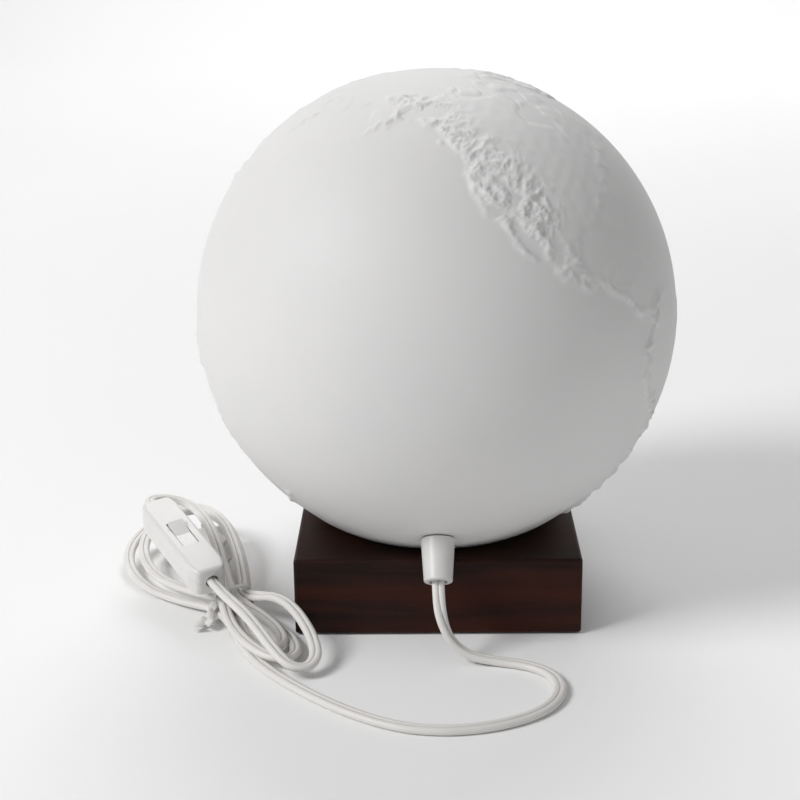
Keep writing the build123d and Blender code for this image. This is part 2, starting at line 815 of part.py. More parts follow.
# Bars that clamp the cord down in each end
with BuildPart() as cord_clamps:
    with BuildSketch(switch_plane.offset(post_top + switch_joint_gap / 2)):
        with Locations((-clamp_x, 0), (clamp_x, 0)):
            Rectangle(clamp_length, clamp_width)
        with GridLocations(2 * clamp_x, clamp_screw_spread, 2, 2):
            Circle(clamp_screw_radius + screw_fit, mode=Mode.SUBTRACT)
    extrude(amount=clamp_height)
cord_clamps.part.label = "cord_clamps"
export_step(cord_clamps.part, "parts/cord_clamps.step")

# Case screws from the underside, and the smaller screws of the clamps
with BuildPart() as switch_screws:
    with BuildSketch(switch_plane.offset(-half_height)):
        with GridLocations(case_screw_spread, 1, 2, 1):
            Circle(screw_head_radius)
    extrude(amount=screw_head_height - switch_joint_gap / 2)
    with BuildSketch(switch_plane.offset(-half_height)):
        with GridLocations(case_screw_spread, 1, 2, 1):
            Circle(screw_radius)
    extrude(amount=case_screw_length)
    with BuildSketch(switch_plane.offset(post_top - clamp_height)):
        with GridLocations(2 * clamp_x, clamp_screw_spread, 2, 2):
            Circle(clamp_screw_radius)
    extrude(amount=2 * clamp_height + switch_joint_gap)
    with BuildSketch(switch_plane.offset(post_top + clamp_height + switch_joint_gap)):
        with GridLocations(2 * clamp_x, clamp_screw_spread, 2, 2):
            Circle(2 * clamp_screw_radius)
    extrude(amount=clamp_screw_radius)
switch_screws.part.label = "switch_screws"
export_step(switch_screws.part, "parts/switch_screws.step")

# Pin through the ears, on which the rocker turns
with BuildPart() as rocker_pin:
    with BuildSketch(pin_plane):
        Circle(pin_radius)
    extrude(amount=rocker_width / 2 + rocker_gap + ear_thickness, both=True)
rocker_pin.part.label = "rocker_pin"
export_step(rocker_pin.part, "parts/rocker_pin.step")

# Rocker: two faces that meet in a shallow valley, bored for the pin
with BuildPart() as switch_rocker:
    with BuildSketch(rocker_plane):
        with BuildLine():
            Polyline(
                (rocker_half, rocker_tip_height),
                (0, rocker_tip_height - rocker_half * tan(rocker_tilt)),
                (-rocker_half, rocker_tip_height),
                (rocker_side_draft - rocker_half, rocker_tip_height / 2),
                (-rocker_base_depth, -rocker_base_depth),
                (rocker_base_depth, -rocker_base_depth),
                (rocker_half - rocker_side_draft, rocker_tip_height / 2),
                close=True,
            )
        make_face()
        Circle(pin_radius + pin_fit, mode=Mode.SUBTRACT)
    extrude(amount=rocker_width / 2, both=True)
switch_rocker.part.label = "switch_rocker"
export_step(switch_rocker.part, "parts/switch_rocker.step")

# Bridge on the rocker's underside, which closes the fixed contacts
bridge_top = -rocker_base_depth - switch_joint_gap / 2
with BuildPart() as contact_bridge:
    with BuildSketch(rocker_plane):
        with Locations((0, bridge_top - bridge_thickness / 2)):
            Rectangle(bridge_length, bridge_thickness)
    extrude(amount=bridge_width / 2, both=True)
contact_bridge.part.label = "contact_bridge"
export_step(contact_bridge.part, "parts/contact_bridge.step")

# Fixed contacts on the floor of the lower shell, under the end of the bridge that comes down
bridge_end_height = (
    pin_height
    + (bridge_top - bridge_thickness) * cos(rocker_tilt)
    - bridge_length / 2 * sin(rocker_tilt)
)
contact_reach = bridge_length / 2 - contact_thickness
with BuildPart() as switch_contacts:
    for side in (-1, 1):
        with BuildSketch(switch_plane.offset(floor_z)):
            with Locations((contact_reach, side * (bridge_width - contact_width) / 2)):
                Rectangle(contact_thickness, contact_width)
        extrude(amount=bridge_end_height - contact_gap - floor_z)
        with BuildSketch(switch_plane.offset(floor_z)):
            with Locations((contact_reach - contact_width, side * (bridge_width - contact_width) / 2)):
                Rectangle(2 * contact_width, contact_width)
        extrude(amount=contact_thickness)
switch_contacts.part.label = "switch_contacts"
export_step(switch_contacts.part, "parts/switch_contacts.step")

# Plug body: flat, wide at its pins, with a tapered relief round the cord
with BuildPart() as plug_body:
    with BuildSketch(plug_plane.offset(-plug_thickness / 2)) as plug_plan:
        with BuildLine():
            Polyline(
                (0, plug_back_width / 2),
                (plug_taper_length, plug_front_width / 2),
                (plug_length, plug_front_width / 2),
                (plug_length, -plug_front_width / 2),
                (plug_taper_length, -plug_front_width / 2),
                (0, -plug_back_width / 2),
                close=True,
            )
        make_face()
        fillet(plug_plan.vertices(), plug_corner_radius)
    extrude(amount=plug_thickness)
    fillet(plug_body.edges().group_by(Axis.Z)[0] + plug_body.edges().group_by(Axis.Z)[-1], plug_edge_radius)
    with BuildSketch(Plane(origin=along_plug(plug_relief_root), x_dir=plug_plane.y_dir, z_dir=plug_dir * -1)):
        Circle(plug_relief_radius)
    with BuildSketch(Plane(origin=along_plug(-plug_relief_length), x_dir=plug_plane.y_dir, z_dir=plug_dir * -1)):
        Circle(plug_relief_end_radius)
    loft()
    with BuildSketch(Plane(origin=along_plug(-plug_relief_length), x_dir=plug_plane.y_dir, z_dir=plug_dir)):
        Circle(cord_radius + cord_bore_fit)
    extrude(amount=cord_in_plug + cord_end_gap, mode=Mode.SUBTRACT)
    with BuildSketch(plug_front):
        with GridLocations(plug_pin_spacing, 1, 2, 1):
            Circle(plug_pin_radius + thread_fit)
    extrude(amount=-plug_pin_socket, mode=Mode.SUBTRACT)
plug_body.part.label = "plug_body"
export_step(plug_body.part, "parts/plug_body.step")

# Pins: thin under their sleeves, full width at the tip
with BuildPart() as plug_pins:
    with BuildSketch(plug_front.offset(stack_gap - plug_pin_socket)):
        with GridLocations(plug_pin_spacing, 1, 2, 1):
            Circle(plug_pin_radius - plug_sleeve_wall)
    extrude(amount=plug_pin_socket + plug_pin_length - stack_gap)
    with BuildSketch(plug_front.offset(plug_sleeve_length)):
        with GridLocations(plug_pin_spacing, 1, 2, 1):
            Circle(plug_pin_radius)
    extrude(amount=plug_pin_length - plug_sleeve_length)
    fillet(plug_pins.edges().group_by(Axis(plug_front.origin, plug_dir))[-1], plug_pin_radius / 2)
plug_pins.part.label = "plug_pins"
export_step(plug_pins.part, "parts/plug_pins.step")

# Insulating sleeves on the pins, held in the plug's sockets
with BuildPart() as pin_sleeves:
    with BuildSketch(plug_front.offset(stack_gap - plug_pin_socket)):
        with GridLocations(plug_pin_spacing, 1, 2, 1):
            Circle(plug_pin_radius)
            Circle(plug_pin_radius - plug_sleeve_wall + thread_fit / 2, mode=Mode.SUBTRACT)
    extrude(amount=plug_pin_socket + plug_sleeve_length - 2 * stack_gap)
pin_sleeves.part.label = "pin_sleeves"
export_step(pin_sleeves.part, "parts/pin_sleeves.step")

# Paper tie: a band round the strands at the waist, with its twisted tail lying on the table
tie_inner_width = 2 * (place_pitch + cord_radius + tie_side_clearance)
tie_bottom = waist_lift - tie_clearance
tie_inner_height = layer_pitch + cord_diameter + 2 * tie_clearance
tie_direction = radians((upper_direction + lower_direction + 180) / 2)
tie_plane = Plane(
    origin=(waist_x, waist_y, tie_bottom + tie_inner_height / 2),
    x_dir=(sin(tie_direction), -cos(tie_direction), 0),
    z_dir=(cos(tie_direction), sin(tie_direction), 0),
)
tie_corner = tie_plane.origin - tie_plane.x_dir * (tie_inner_width / 2 - cord_radius)
tie_tail_plane = Plane(
    origin=(tie_corner.X, tie_corner.Y, tie_bottom - tie_thickness),
    x_dir=(cos(radians(tie_tail_turn)), sin(radians(tie_tail_turn)), 0),
    z_dir=(0, 0, 1),
)
with BuildPart() as hank_tie:
    with BuildSketch(tie_plane.offset(-tie_width / 2)):
        RectangleRounded(tie_inner_width + 2 * tie_thickness, tie_inner_height + 2 * tie_thickness,
                         cord_radius + tie_thickness)
        RectangleRounded(tie_inner_width, tie_inner_height, cord_radius, mode=Mode.SUBTRACT)
    extrude(amount=tie_width)
    with BuildSketch(tie_tail_plane):
        with Locations((tie_tail_length / 2, 0)):
            Rectangle(tie_tail_length, tie_tail_width)
    extrude(amount=tie_thickness)
hank_tie.part.label = "hank_tie"
export_step(hank_tie.part, "parts/hank_tie.step")
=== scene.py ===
from math import asin, cos, exp, pi, radians, sin, sqrt

import bpy
import numpy as np
from mathutils import Matrix, Vector, noise


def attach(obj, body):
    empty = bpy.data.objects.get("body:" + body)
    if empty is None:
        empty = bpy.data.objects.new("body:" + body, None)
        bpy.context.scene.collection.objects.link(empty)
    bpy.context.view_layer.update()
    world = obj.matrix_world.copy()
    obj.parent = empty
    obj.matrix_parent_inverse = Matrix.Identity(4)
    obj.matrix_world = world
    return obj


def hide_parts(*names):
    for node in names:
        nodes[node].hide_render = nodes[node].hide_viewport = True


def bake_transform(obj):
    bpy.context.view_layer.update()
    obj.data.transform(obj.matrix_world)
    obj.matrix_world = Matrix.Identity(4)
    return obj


# Globe table lamp in the CAD frame, in metres: Z up, the cord leaves on the -Y side.
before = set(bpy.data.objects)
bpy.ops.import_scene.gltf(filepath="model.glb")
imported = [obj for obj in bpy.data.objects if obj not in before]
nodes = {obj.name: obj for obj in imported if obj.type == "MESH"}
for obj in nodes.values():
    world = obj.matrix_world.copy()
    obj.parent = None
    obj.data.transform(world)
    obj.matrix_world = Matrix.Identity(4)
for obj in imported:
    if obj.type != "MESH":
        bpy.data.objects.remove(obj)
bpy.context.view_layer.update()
scene = bpy.context.scene
scene.view_settings.view_transform = "Standard"
mm = 0.001

# Camera
# A 72 mm lens on a 36 mm frame, about 0.8 m from the lamp and a little above it, where the photograph
# was taken from.
camera_place = (-5.216, -779.176, 354.834)
camera_right = Vector((0.99985454, 0.01705559, 0))
camera_up = Vector((-0.00533057, 0.31249517, 0.94990439))
camera_roll = radians(-0.7034)
camera_data = bpy.data.cameras.new("camera")
camera_data.lens = 72
camera_data.sensor_width = 36
camera_data.sensor_fit = "HORIZONTAL"
camera_data.clip_start = 0.05
camera_data.clip_end = 40
camera = bpy.data.objects.new("camera", camera_data)
camera_x = camera_right * cos(camera_roll) + camera_up * sin(camera_roll)
camera_y = camera_up * cos(camera_roll) - camera_right * sin(camera_roll)
camera_turn = Matrix((camera_x, camera_y, camera_x.cross(camera_y))).transposed().to_4x4()
camera.matrix_world = Matrix.Translation(Vector(camera_place) * mm) @ camera_turn
scene.collection.objects.link(camera)
scene.camera = camera


# Wooden block
# A square block of close-grained hardwood, planed and sanded, with a dish turned in its top. It has a dark
# red-brown stain and a thin satin lacquer, so it shows long streaks of tone and a soft, broken highlight.
def linear(code):
    """An sRGB colour written as six hex digits, as linear RGBA."""
    channels = [int(code[i:i + 2], 16) / 255 for i in (0, 2, 4)]
    return [c / 12.92 if c <= 0.04045 else ((c + 0.055) / 1.055) ** 2.4 for c in channels] + [1]


def add(material, kind, inputs=None, **settings):
    """Add a node with its settings; each input is a value, a node or a socket to link."""
    node = material.node_tree.nodes.new(kind)
    for name, value in settings.items():
        setattr(node, name, value)
    for name, value in (inputs or {}).items():
        socket = next(s for s in node.inputs if s.enabled and s.name == name)
        if isinstance(value, bpy.types.Node):
            value = next(s for s in value.outputs if s.enabled)
        if isinstance(value, bpy.types.NodeSocket):
            material.node_tree.links.new(value, socket)
        else:
            socket.default_value = value
    return node


def empty_material(name):
    """A material with nodes and none of them placed yet."""
    material = bpy.data.materials.new(name)
    material.use_nodes = True
    material.node_tree.nodes.clear()
    return material


def pattern(material, size, detail=4.0, roughness=0.55, distortion=0.0):
    """Noise on Object coordinates whose grain has a size in millimetres along X, Y and Z."""
    place = add(material, "ShaderNodeTexCoord").outputs["Object"]
    per_metre = [1 / (mm * length) for length in size]
    scaled = add(material, "ShaderNodeMapping", {"Vector": place, "Scale": per_metre})
    return add(material, "ShaderNodeTexNoise", {
        "Vector": scaled, "Scale": 1.0, "Detail": detail, "Roughness": roughness, "Distortion": distortion,
    })


def dress(names, material):
    """Give CAD nodes a material."""
    for name in names:
        nodes[name].data.materials.clear()
        nodes[name].data.materials.append(material)


wood = empty_material("stained_hardwood")
grain = pattern(wood, (60, 4.5, 4.5), detail=7, roughness=0.6, distortion=0.5)
grain_share = add(wood, "ShaderNodeMapRange", {"Value": grain, "From Min": 0.32, "From Max": 0.68})
streak = pattern(wood, (150, 34, 15), detail=3, distortion=0.4)
streak_share = add(wood, "ShaderNodeMapRange", {"Value": streak, "From Min": 0.38, "From Max": 0.66})
grain_tone = add(wood, "ShaderNodeMix", {"Factor": grain_share, "A": linear("140906"), "B": linear("2C140C")},
                 data_type="RGBA")
wood_tone = add(wood, "ShaderNodeMix", {"Factor": streak_share, "A": grain_tone, "B": linear("3A170B")},
                data_type="RGBA")
pores = pattern(wood, (8, 0.4, 0.4), detail=3, roughness=0.7)
pore_share = add(wood, "ShaderNodeMapRange", {"Value": pores, "From Min": 0.3, "From Max": 0.42})
pore_tone = add(wood, "ShaderNodeMix", {"Factor": pore_share, "A": linear("0D0504"), "B": wood_tone},
                data_type="RGBA")
wood_gloss = add(wood, "ShaderNodeMapRange", {"Value": grain, "To Min": 0.42, "To Max": 0.6})
wood_dents = add(wood, "ShaderNodeBump", {"Height": pore_share, "Distance": 0.04 * mm, "Strength": 0.6})
wood_shader = add(wood, "ShaderNodeBsdfPrincipled", {
    "Base Color": pore_tone, "Roughness": wood_gloss, "Normal": wood_dents,
    "Specular IOR Level": 0.15, "Coat Weight": 0.03, "Coat Roughness": 0.35,
})
add(wood, "ShaderNodeOutputMaterial", {"Surface": wood_shader})
dress(["base_block"], wood)

# Foot pads
# Four thin discs of dark foamed rubber, glued into shallow seats under the block. They are matt and faintly
# pitted.
rubber = empty_material("foamed_rubber")
rubber_pits = pattern(rubber, (0.8, 0.8, 0.8), detail=2)
rubber_tone = add(rubber, "ShaderNodeMix", {
    "Factor": rubber_pits, "A": linear("141414"), "B": linear("2A2A2A"),
}, data_type="RGBA")
rubber_dents = add(rubber, "ShaderNodeBump", {"Height": rubber_pits, "Distance": 0.15 * mm})
rubber_shader = add(rubber, "ShaderNodeBsdfPrincipled",
                    {"Base Color": rubber_tone, "Roughness": 0.85, "Normal": rubber_dents})
add(rubber, "ShaderNodeOutputMaterial", {"Surface": rubber_shader})
dress(["foot_pads"], rubber)


# Globe
# One hollow moulding of white polyethylene with a satin face. The seas are smooth, the land stands proud by
# half a millimetre and its mountains by up to twice that, soft at the edges as they leave the mould.
def moulded_plastic(name, dark, light, roughness, grain=0.6, depth=0.015, patch=22):
    """White mouldings: hardly any change of tone, a faint grain and a slightly uneven gloss."""
    material = empty_material(name)
    clouds = pattern(material, (patch, patch, patch), detail=3)
    tone = add(material, "ShaderNodeMix", {"Factor": clouds, "A": linear(dark), "B": linear(light)},
               data_type="RGBA")
    gloss = add(material, "ShaderNodeMapRange", {
        "Value": pattern(material, (6, 6, 6), detail=5),
        "To Min": roughness - 0.06,
        "To Max": roughness + 0.08,
    })
    fine = add(material, "ShaderNodeBump", {
        "Height": pattern(material, (grain, grain, grain), detail=2), "Distance": depth * mm,
    })
    shader = add(material, "ShaderNodeBsdfPrincipled",
                 {"Base Color": tone, "Roughness": gloss, "Normal": fine})
    add(material, "ShaderNodeOutputMaterial", {"Surface": shader})
    return material


def make_piece(name, points, faces, material):
    """A smooth mesh piece from points in metres."""
    mesh = bpy.data.meshes.new(name)
    mesh.from_pydata(points if isinstance(points, list) else points.tolist(), [], faces)
    mesh.materials.append(material)
    mesh.polygons.foreach_set("use_smooth", [True] * len(mesh.polygons))
    mesh.update()
    piece = bpy.data.objects.new(name, mesh)
    scene.collection.objects.link(piece)
    return piece


globe_white = moulded_plastic("satin_polyethylene", "D9D8D8", "E0DFDE", 0.58, grain=0.8, depth=0.01, patch=60)
globe_centre = Vector((0, 0, 146))
wall_radius = 120.0
sea_radius = 119.3
inner_radius = 117.0
service_radius = 38.0
land_rise = 0.42
meridian_turn = 43.5

# Coasts as longitude,latitude in degrees, east and north positive, each line a closed outline
coasts = [
    # North America with Alaska and the isthmus
    "-168,65.6 -162,66.5 -166,68.4 -156.5,71.3 -145,70 -141,69.6 -135,69 -128,70.3 -124,69.7 -115,68.5 "
    "-108,67.8 -101,67.8 -95,68.2 -94,71.8 -92,69.5 -88,68.7 -86,67 -87,64.5 -93.5,62 -94.5,59 -92.5,57 "
    "-88,56.5 -82.5,55.2 -82,53 -79.5,51.3 -79,54.5 -77,57 -78.5,59 -77.5,62.4 -73,62 -70,61 -69.5,58.9 "
    "-66,58.8 -64.5,60.3 -61.5,56.5 -57.5,54 -55.8,52 -59.5,50.2 -66,50.1 -70,47.5 -65,48.8 -64.5,46.5 "
    "-61,46.8 -60.2,46 -64,44.4 -66,43.5 -65.5,45.3 -67,44.7 -70.2,43.6 -70.8,42.5 -70,41.7 -74,40.6 "
    "-75.4,38 -76,37 -75.6,35.3 -78,33.9 -81,32 -81.4,30.3 -80.1,26.8 -80.5,25.3 -81.8,26.2 -82.7,28 -84,30 "
    "-85.5,29.8 -88,30.4 -89.4,29.2 -91.5,29.5 -94.7,29.4 -97.2,27.8 -97.5,25 -97.8,22.3 -96.2,19.2 "
    "-94.5,18.2 -91.5,18.6 -90.5,20.5 -88,21.5 -87,20.5 -88.2,18 -88.8,16 -86,15.9 -83.3,15 -83.7,12 -83,10 "
    "-81.5,8.9 -79.7,9.5 -77.3,8.5 -77.9,7.3 -79.5,8.8 -80.4,7.3 -82.8,8.2 -85,9.8 -85.8,11 -87.6,13 "
    "-90.5,13.9 -94,16.2 -96.5,15.7 -100,17 -105,19.8 -105.6,20.5 -105.5,22.5 -107.4,25 -109.4,27.5 "
    "-112.2,31.2 -115,31.9 -113.7,28.6 -112,25.9 -109.8,23 -112.1,24.8 -113.8,26.8 -115.6,28 -114.9,28.5 "
    "-115.8,30.3 -117.1,32.5 -118.5,34 -120.6,34.6 -122,36.7 -122.6,37.9 -124.2,40.4 -124.4,43 -124,46.2 "
    "-124.7,48.4 -123,48.9 -125,50 -127.8,52 -130.3,54.5 -134,57.5 -137,58.7 -140,59.8 -144,60 -148,60.5 "
    "-151.5,59.5 -153.5,59.2 -156,57.5 -159,55.8 -163.5,54.7 -161,56 -157.5,58.6 -162,58.7 -165.5,61.3 "
    "-164.5,63 -161,64.3 -165.5,64.5",
    # Greenland
    "-73,78.3 -66,80.5 -60,82 -45,82.5 -32,83.5 -21,82 -18,80 -20,76 -20,73 -23,70.3 -32,68 -40,65 -43,60 "
    "-48,61 -52,65 -54,69 -55,73 -60,76 -68,76.2",
    # South America
    "-77.3,8.5 -75.5,10.6 -74,11.3 -71.7,12.4 -71.5,10.8 -68,11.8 -64,10.6 -61.8,10.7 -60,8.5 -57,6 -52,5 "
    "-50,1.5 -48,-0.8 -44.3,-2.5 -40,-2.8 -35.3,-5.5 -34.8,-8 -37,-11 -39,-13.5 -39.2,-17.8 -41,-22 "
    "-44.5,-23.1 -48.5,-26 -48.8,-28.5 -52.2,-32.5 -54.5,-35 -58,-34 -57,-36.5 -58.5,-38.5 -62.2,-39 "
    "-65,-41 -63.8,-42.6 -65.3,-45 -67.5,-46.2 -65.9,-48 -69,-50.8 -68.4,-52.4 -65.3,-54.8 -68,-55.6 "
    "-72,-54 -75,-51 -75.5,-47 -73.5,-42 -73.5,-39 -71.6,-33 -71.3,-29 -70.4,-23 -70.3,-18.4 -75,-15.5 "
    "-77.2,-12 -79.5,-7.5 -81.2,-5 -80,-3 -80.9,-1.5 -80,0.8 -77.5,3 -77.4,6.5",
    # Africa
    "-6,35.8 -9.5,32 -9.8,29.8 -13,27.8 -17,21 -16.3,19 -17.5,14.7 -16.7,12.4 -13.3,8.8 -11.4,6.8 -7.6,4.4 "
    "-3,5 2,6.3 5.5,4.4 8.8,4.3 9.7,2.2 9,-0.8 12,-5.2 13.8,-9 12.5,-13.5 11.8,-17.5 14.5,-22.7 16.4,-28.5 "
    "18.3,-32.5 18.4,-34.2 20,-34.8 25.6,-34 29,-32.5 32,-29 32.8,-26 35.5,-24 35,-20 39,-16.7 40.7,-14.5 "
    "39.3,-7 39.5,-4.5 43,-0.5 47.8,4.3 51.2,11.2 47,11.2 43.2,11.7 42.7,12.8 39.5,15.5 37.3,19.5 35.7,23.5 "
    "33.5,28 32.5,30 32.3,31.3 29,31 25,31.8 22.5,32.9 19.8,30.6 15.5,32.2 11,33.5 10.8,37 5,36.8 -2,35.1",
    # Europe and Asia
    "32.5,30 34.9,29.5 36,27.5 39,22 42.7,16.8 43.4,12.7 48,14 52.2,15.8 55.3,17.5 58.8,20.5 59.8,22.5 "
    "56.4,24.7 56.3,26.2 54,24.2 51.5,25.6 50,26.7 48.3,29.8 50.5,29.8 52.5,27.5 56.8,27 58.8,25.5 62,25.2 "
    "66.7,25 68.5,23.4 69.2,22.2 70.9,20.8 72.7,21 72.8,18.9 74.2,14.5 76.2,10 77.5,8.1 79.8,10.3 80.2,13.3 "
    "81.8,16.3 85,19.5 87.5,21.6 91,22.4 92.3,20.8 94.3,16 97,16.8 98.5,12 98.4,8.2 100.4,5.5 103.5,1.4 "
    "103.4,4 101.3,6.9 99.5,9.5 100.2,13.4 102.5,12.1 104.9,8.7 106.8,10.5 109.2,11.8 108.9,15.2 105.7,19 "
    "108.2,21.5 110.2,20.4 113.8,22.3 117,23.5 119.6,25.8 121.8,29.5 121.9,31.7 119.3,35 122.4,37 118.5,38 "
    "121,40.8 124.5,40 125,38 126.4,34.6 129.3,35.4 127.6,39.8 130.7,42.4 135,43.5 140.3,48.5 140.8,53 "
    "137,54 140,57.5 145,59.3 152,59 155,59.4 160,61.5 156.8,57.5 155.8,53 156.8,51 160,53 162.8,56 "
    "163.3,59.8 170.5,60.2 177.5,62.5 179,65 187,64.4 190,66 184,67.2 180,68.9 170,70 160,69.8 150,71.5 "
    "140,72.6 130,71 127,73.3 113,73.7 106,77.5 97,76 87,75 81,73.3 74,72.5 72.5,68.5 68,68.3 60,68.7 "
    "53.5,68.3 46,68 44,66.2 40,65 38,64 34.5,65.7 33,66.7 41,66.6 38,68.4 31,69.7 25.7,71.1 18.5,69.7 "
    "13.5,67.2 10.5,63.9 5,61.8 5.5,59 8,58.1 10.6,59.3 12.8,56 16,56.5 18.8,60 17.3,61.5 21,64.5 24.5,65.8 "
    "21.5,62.5 23,60 29.5,60 24,59 22,57.3 20.5,55 14,54 10.9,54.2 10.5,57.5 8.2,56.8 8.6,53.9 4.8,53 "
    "1.7,50.9 -1.5,49.5 -4.7,48.4 -1.8,46.6 -1.6,43.4 -8.5,43.6 -9.4,38.7 -8.8,37 -6,36.2 -2.1,36.8 "
    "0.2,38.8 3.2,42 4.5,43.4 8.8,44.4 10.5,42.9 12.3,41.7 15.6,40 16,38 18.4,40 14,42.6 12.4,44.4 "
    "13.7,45.6 16,43.5 19.4,41.5 20.8,38.8 22.5,36.6 24,38 23,40.3 26,40.9 29,41.2 28,43.5 30.5,46 33,46.1 "
    "33.5,44.6 36.5,45.3 39,47.1 37.8,44.7 41.5,42 38,41 35,42 31.5,41.2 27,39.5 26.3,38 28,36.8 30.6,36.7 "
    "34,36.3 36,36.5 35.5,33.5 34.3,31.3 32.5,31",
    # Australia, Tasmania, New Guinea and New Zealand
    "114,-22 113.5,-26 115.7,-32 115.1,-34.3 118,-35 123.6,-33.9 129,-31.7 133,-32.1 135.6,-34.9 138,-33 "
    "138.5,-35.6 140.6,-38 144,-38.7 146.4,-39 150,-37.4 152.5,-32.5 153.5,-28 152.8,-25 149.5,-22 146,-19 "
    "145.3,-15 143.5,-14 142.5,-10.7 141.6,-14 141,-17.6 139.3,-17.4 135.5,-15 136.8,-12.2 132.6,-11.5 "
    "130.2,-13 128.3,-15 124,-16.3 122.2,-18 119,-20",
    "144.7,-40.8 148.3,-41 147.5,-43.4 146,-43.5",
    "131,-0.8 134.2,-0.8 135,-3.3 138,-1.7 144.5,-3.9 147.8,-6.5 150.7,-10.5 147,-9.7 143.5,-8.8 138.5,-8.3 "
    "137.8,-5 133,-4",
    "172.8,-34.5 175.5,-36.8 178.5,-37.7 177,-39.6 175.2,-41.6 173.8,-39.3",
    "172.7,-40.6 174.2,-41.7 171,-45 169.5,-46.6 166.5,-46 168.5,-44 171.2,-42.4",
    # Islands of Europe
    "-5.5,50.1 1.4,51.3 0.3,53 -2,55.8 -3,58.6 -5,58.5 -5.6,56.5 -3,54.5 -4.5,53 -5.2,51.7",
    "-10,51.7 -6.2,52.2 -6,54.5 -8,55.3 -10,54",
    "-24,65.5 -22.5,63.9 -18.5,63.4 -13.7,65 -16,66.4 -21,66",
    "15,76.6 24,78.5 18,80.3 11,79.6",
    "52,71 57.5,70.6 61,74 68,76.6 60,76 54,73.2",
    # Islands of Asia
    "130.9,34 136,33.6 140,35 142,39.5 141,41.4 139.8,38.5 137,37 132.5,35.5",
    "140,41.8 143.2,42 145.5,43.4 141.8,45.4 140.4,43.3",
    "129.8,33.4 131.9,33.3 131,31.2 130,32",
    "142,46.2 143.5,49 142.3,54.2 142,50",
    "121,25.2 120.2,23 121,22 121.9,25",
    "120.3,18.4 122.2,18.2 121.6,14.2 124,12.8 120.6,14 120,16.2",
    "122,7 125.5,6 126.4,8.5 125,9.7 123.5,8.3",
    "109,1.5 116.8,7 119,5 117.7,1 116,-3.5 114,-3.5 110.2,-2.8",
    "95.3,5.6 103.5,-1 106,-3 105.8,-5.8 102.3,-3.9 98.7,1.6",
    "105.2,-6.8 108.5,-6.7 114.4,-7.7 114.3,-8.7 108,-7.8",
    "119,-3 120,0.8 124.8,1.4 121,0.4 123.3,-0.9 120.4,-5.6 119.5,-5.4",
    "80,9.7 81.8,7.4 80.6,6 79.8,8",
    "49.3,-12.1 50.4,-15.7 47.2,-24.8 44,-25 43.5,-22 44.4,-16.3",
    # Islands of America
    "-84.9,21.9 -82,23.1 -77.5,21.8 -74.2,20.2 -77.5,19.9 -78.2,20.9 -82,22.4",
    "-74.4,18.4 -72.5,19.9 -68.4,18.6 -71,17.8",
    "-59.3,47.7 -55.6,51.5 -52.8,47.5",
    "-128.2,50.7 -125,50.2 -123.5,48.4",
    "-81,73.7 -76,72.8 -68,70.3 -61.5,66.8 -64.7,63.4 -71.5,62.9 -77,64.5 -73.5,66.5 -73,68.2 -79,69.8 "
    "-85,70 -89.5,71 -89.5,73",
    "-75,78.5 -64,81.8 -70,83 -85,82.3 -92,81.2 -88,79 -80,76.3",
    "-80,74.6 -80,76 -93,76.5 -95,74.8",
    "-117,69.9 -105,68.9 -102,70 -105,73 -115,73.3",
    "-125.5,72 -123.5,71.2 -117.5,73.5 -122,74.4",
    "-87,63.7 -80.5,64 -84,66",
]
inland_sea = "50,45.5 53,46.5 53,41.5 54,37 50,37.5 49.5,40.5 47.5,43"

# Small round islands: longitude, latitude and radius in degrees
small_islands = [
    (-155.5, 19.6, 0.55), (-156.4, 20.8, 0.3), (-157.9, 21.5, 0.3), (-159.5, 22.0, 0.3), (-153.5, 57.5, 0.6),
    (-132.0, 53.3, 0.5), (-77.3, 18.1, 0.6), (-66.5, 18.2, 0.6), (14.2, 37.5, 0.8), (9.0, 40.1, 0.8),
    (9.1, 42.1, 0.5), (24.8, 35.2, 0.6), (33.0, 35.0, 0.6), (109.8, 19.2, 0.9), (125.0, -9.0, 1.0),
    (128.0, 0.8, 0.9), (129.5, -3.2, 0.9), (151.0, -5.5, 0.9), (160.0, -9.0, 0.7), (165.3, -21.3, 0.8),
    (178.0, -17.8, 0.7), (-59.0, -51.7, 0.8), (-166.5, 54.0, 0.4), (-169.0, 53.0, 0.35), (-174.0, 52.2, 0.35),
    (-178.0, 51.8, 0.35), (152.0, 47.0, 0.4), (148.0, 45.2, 0.4), (123.0, 10.5, 0.8),
]

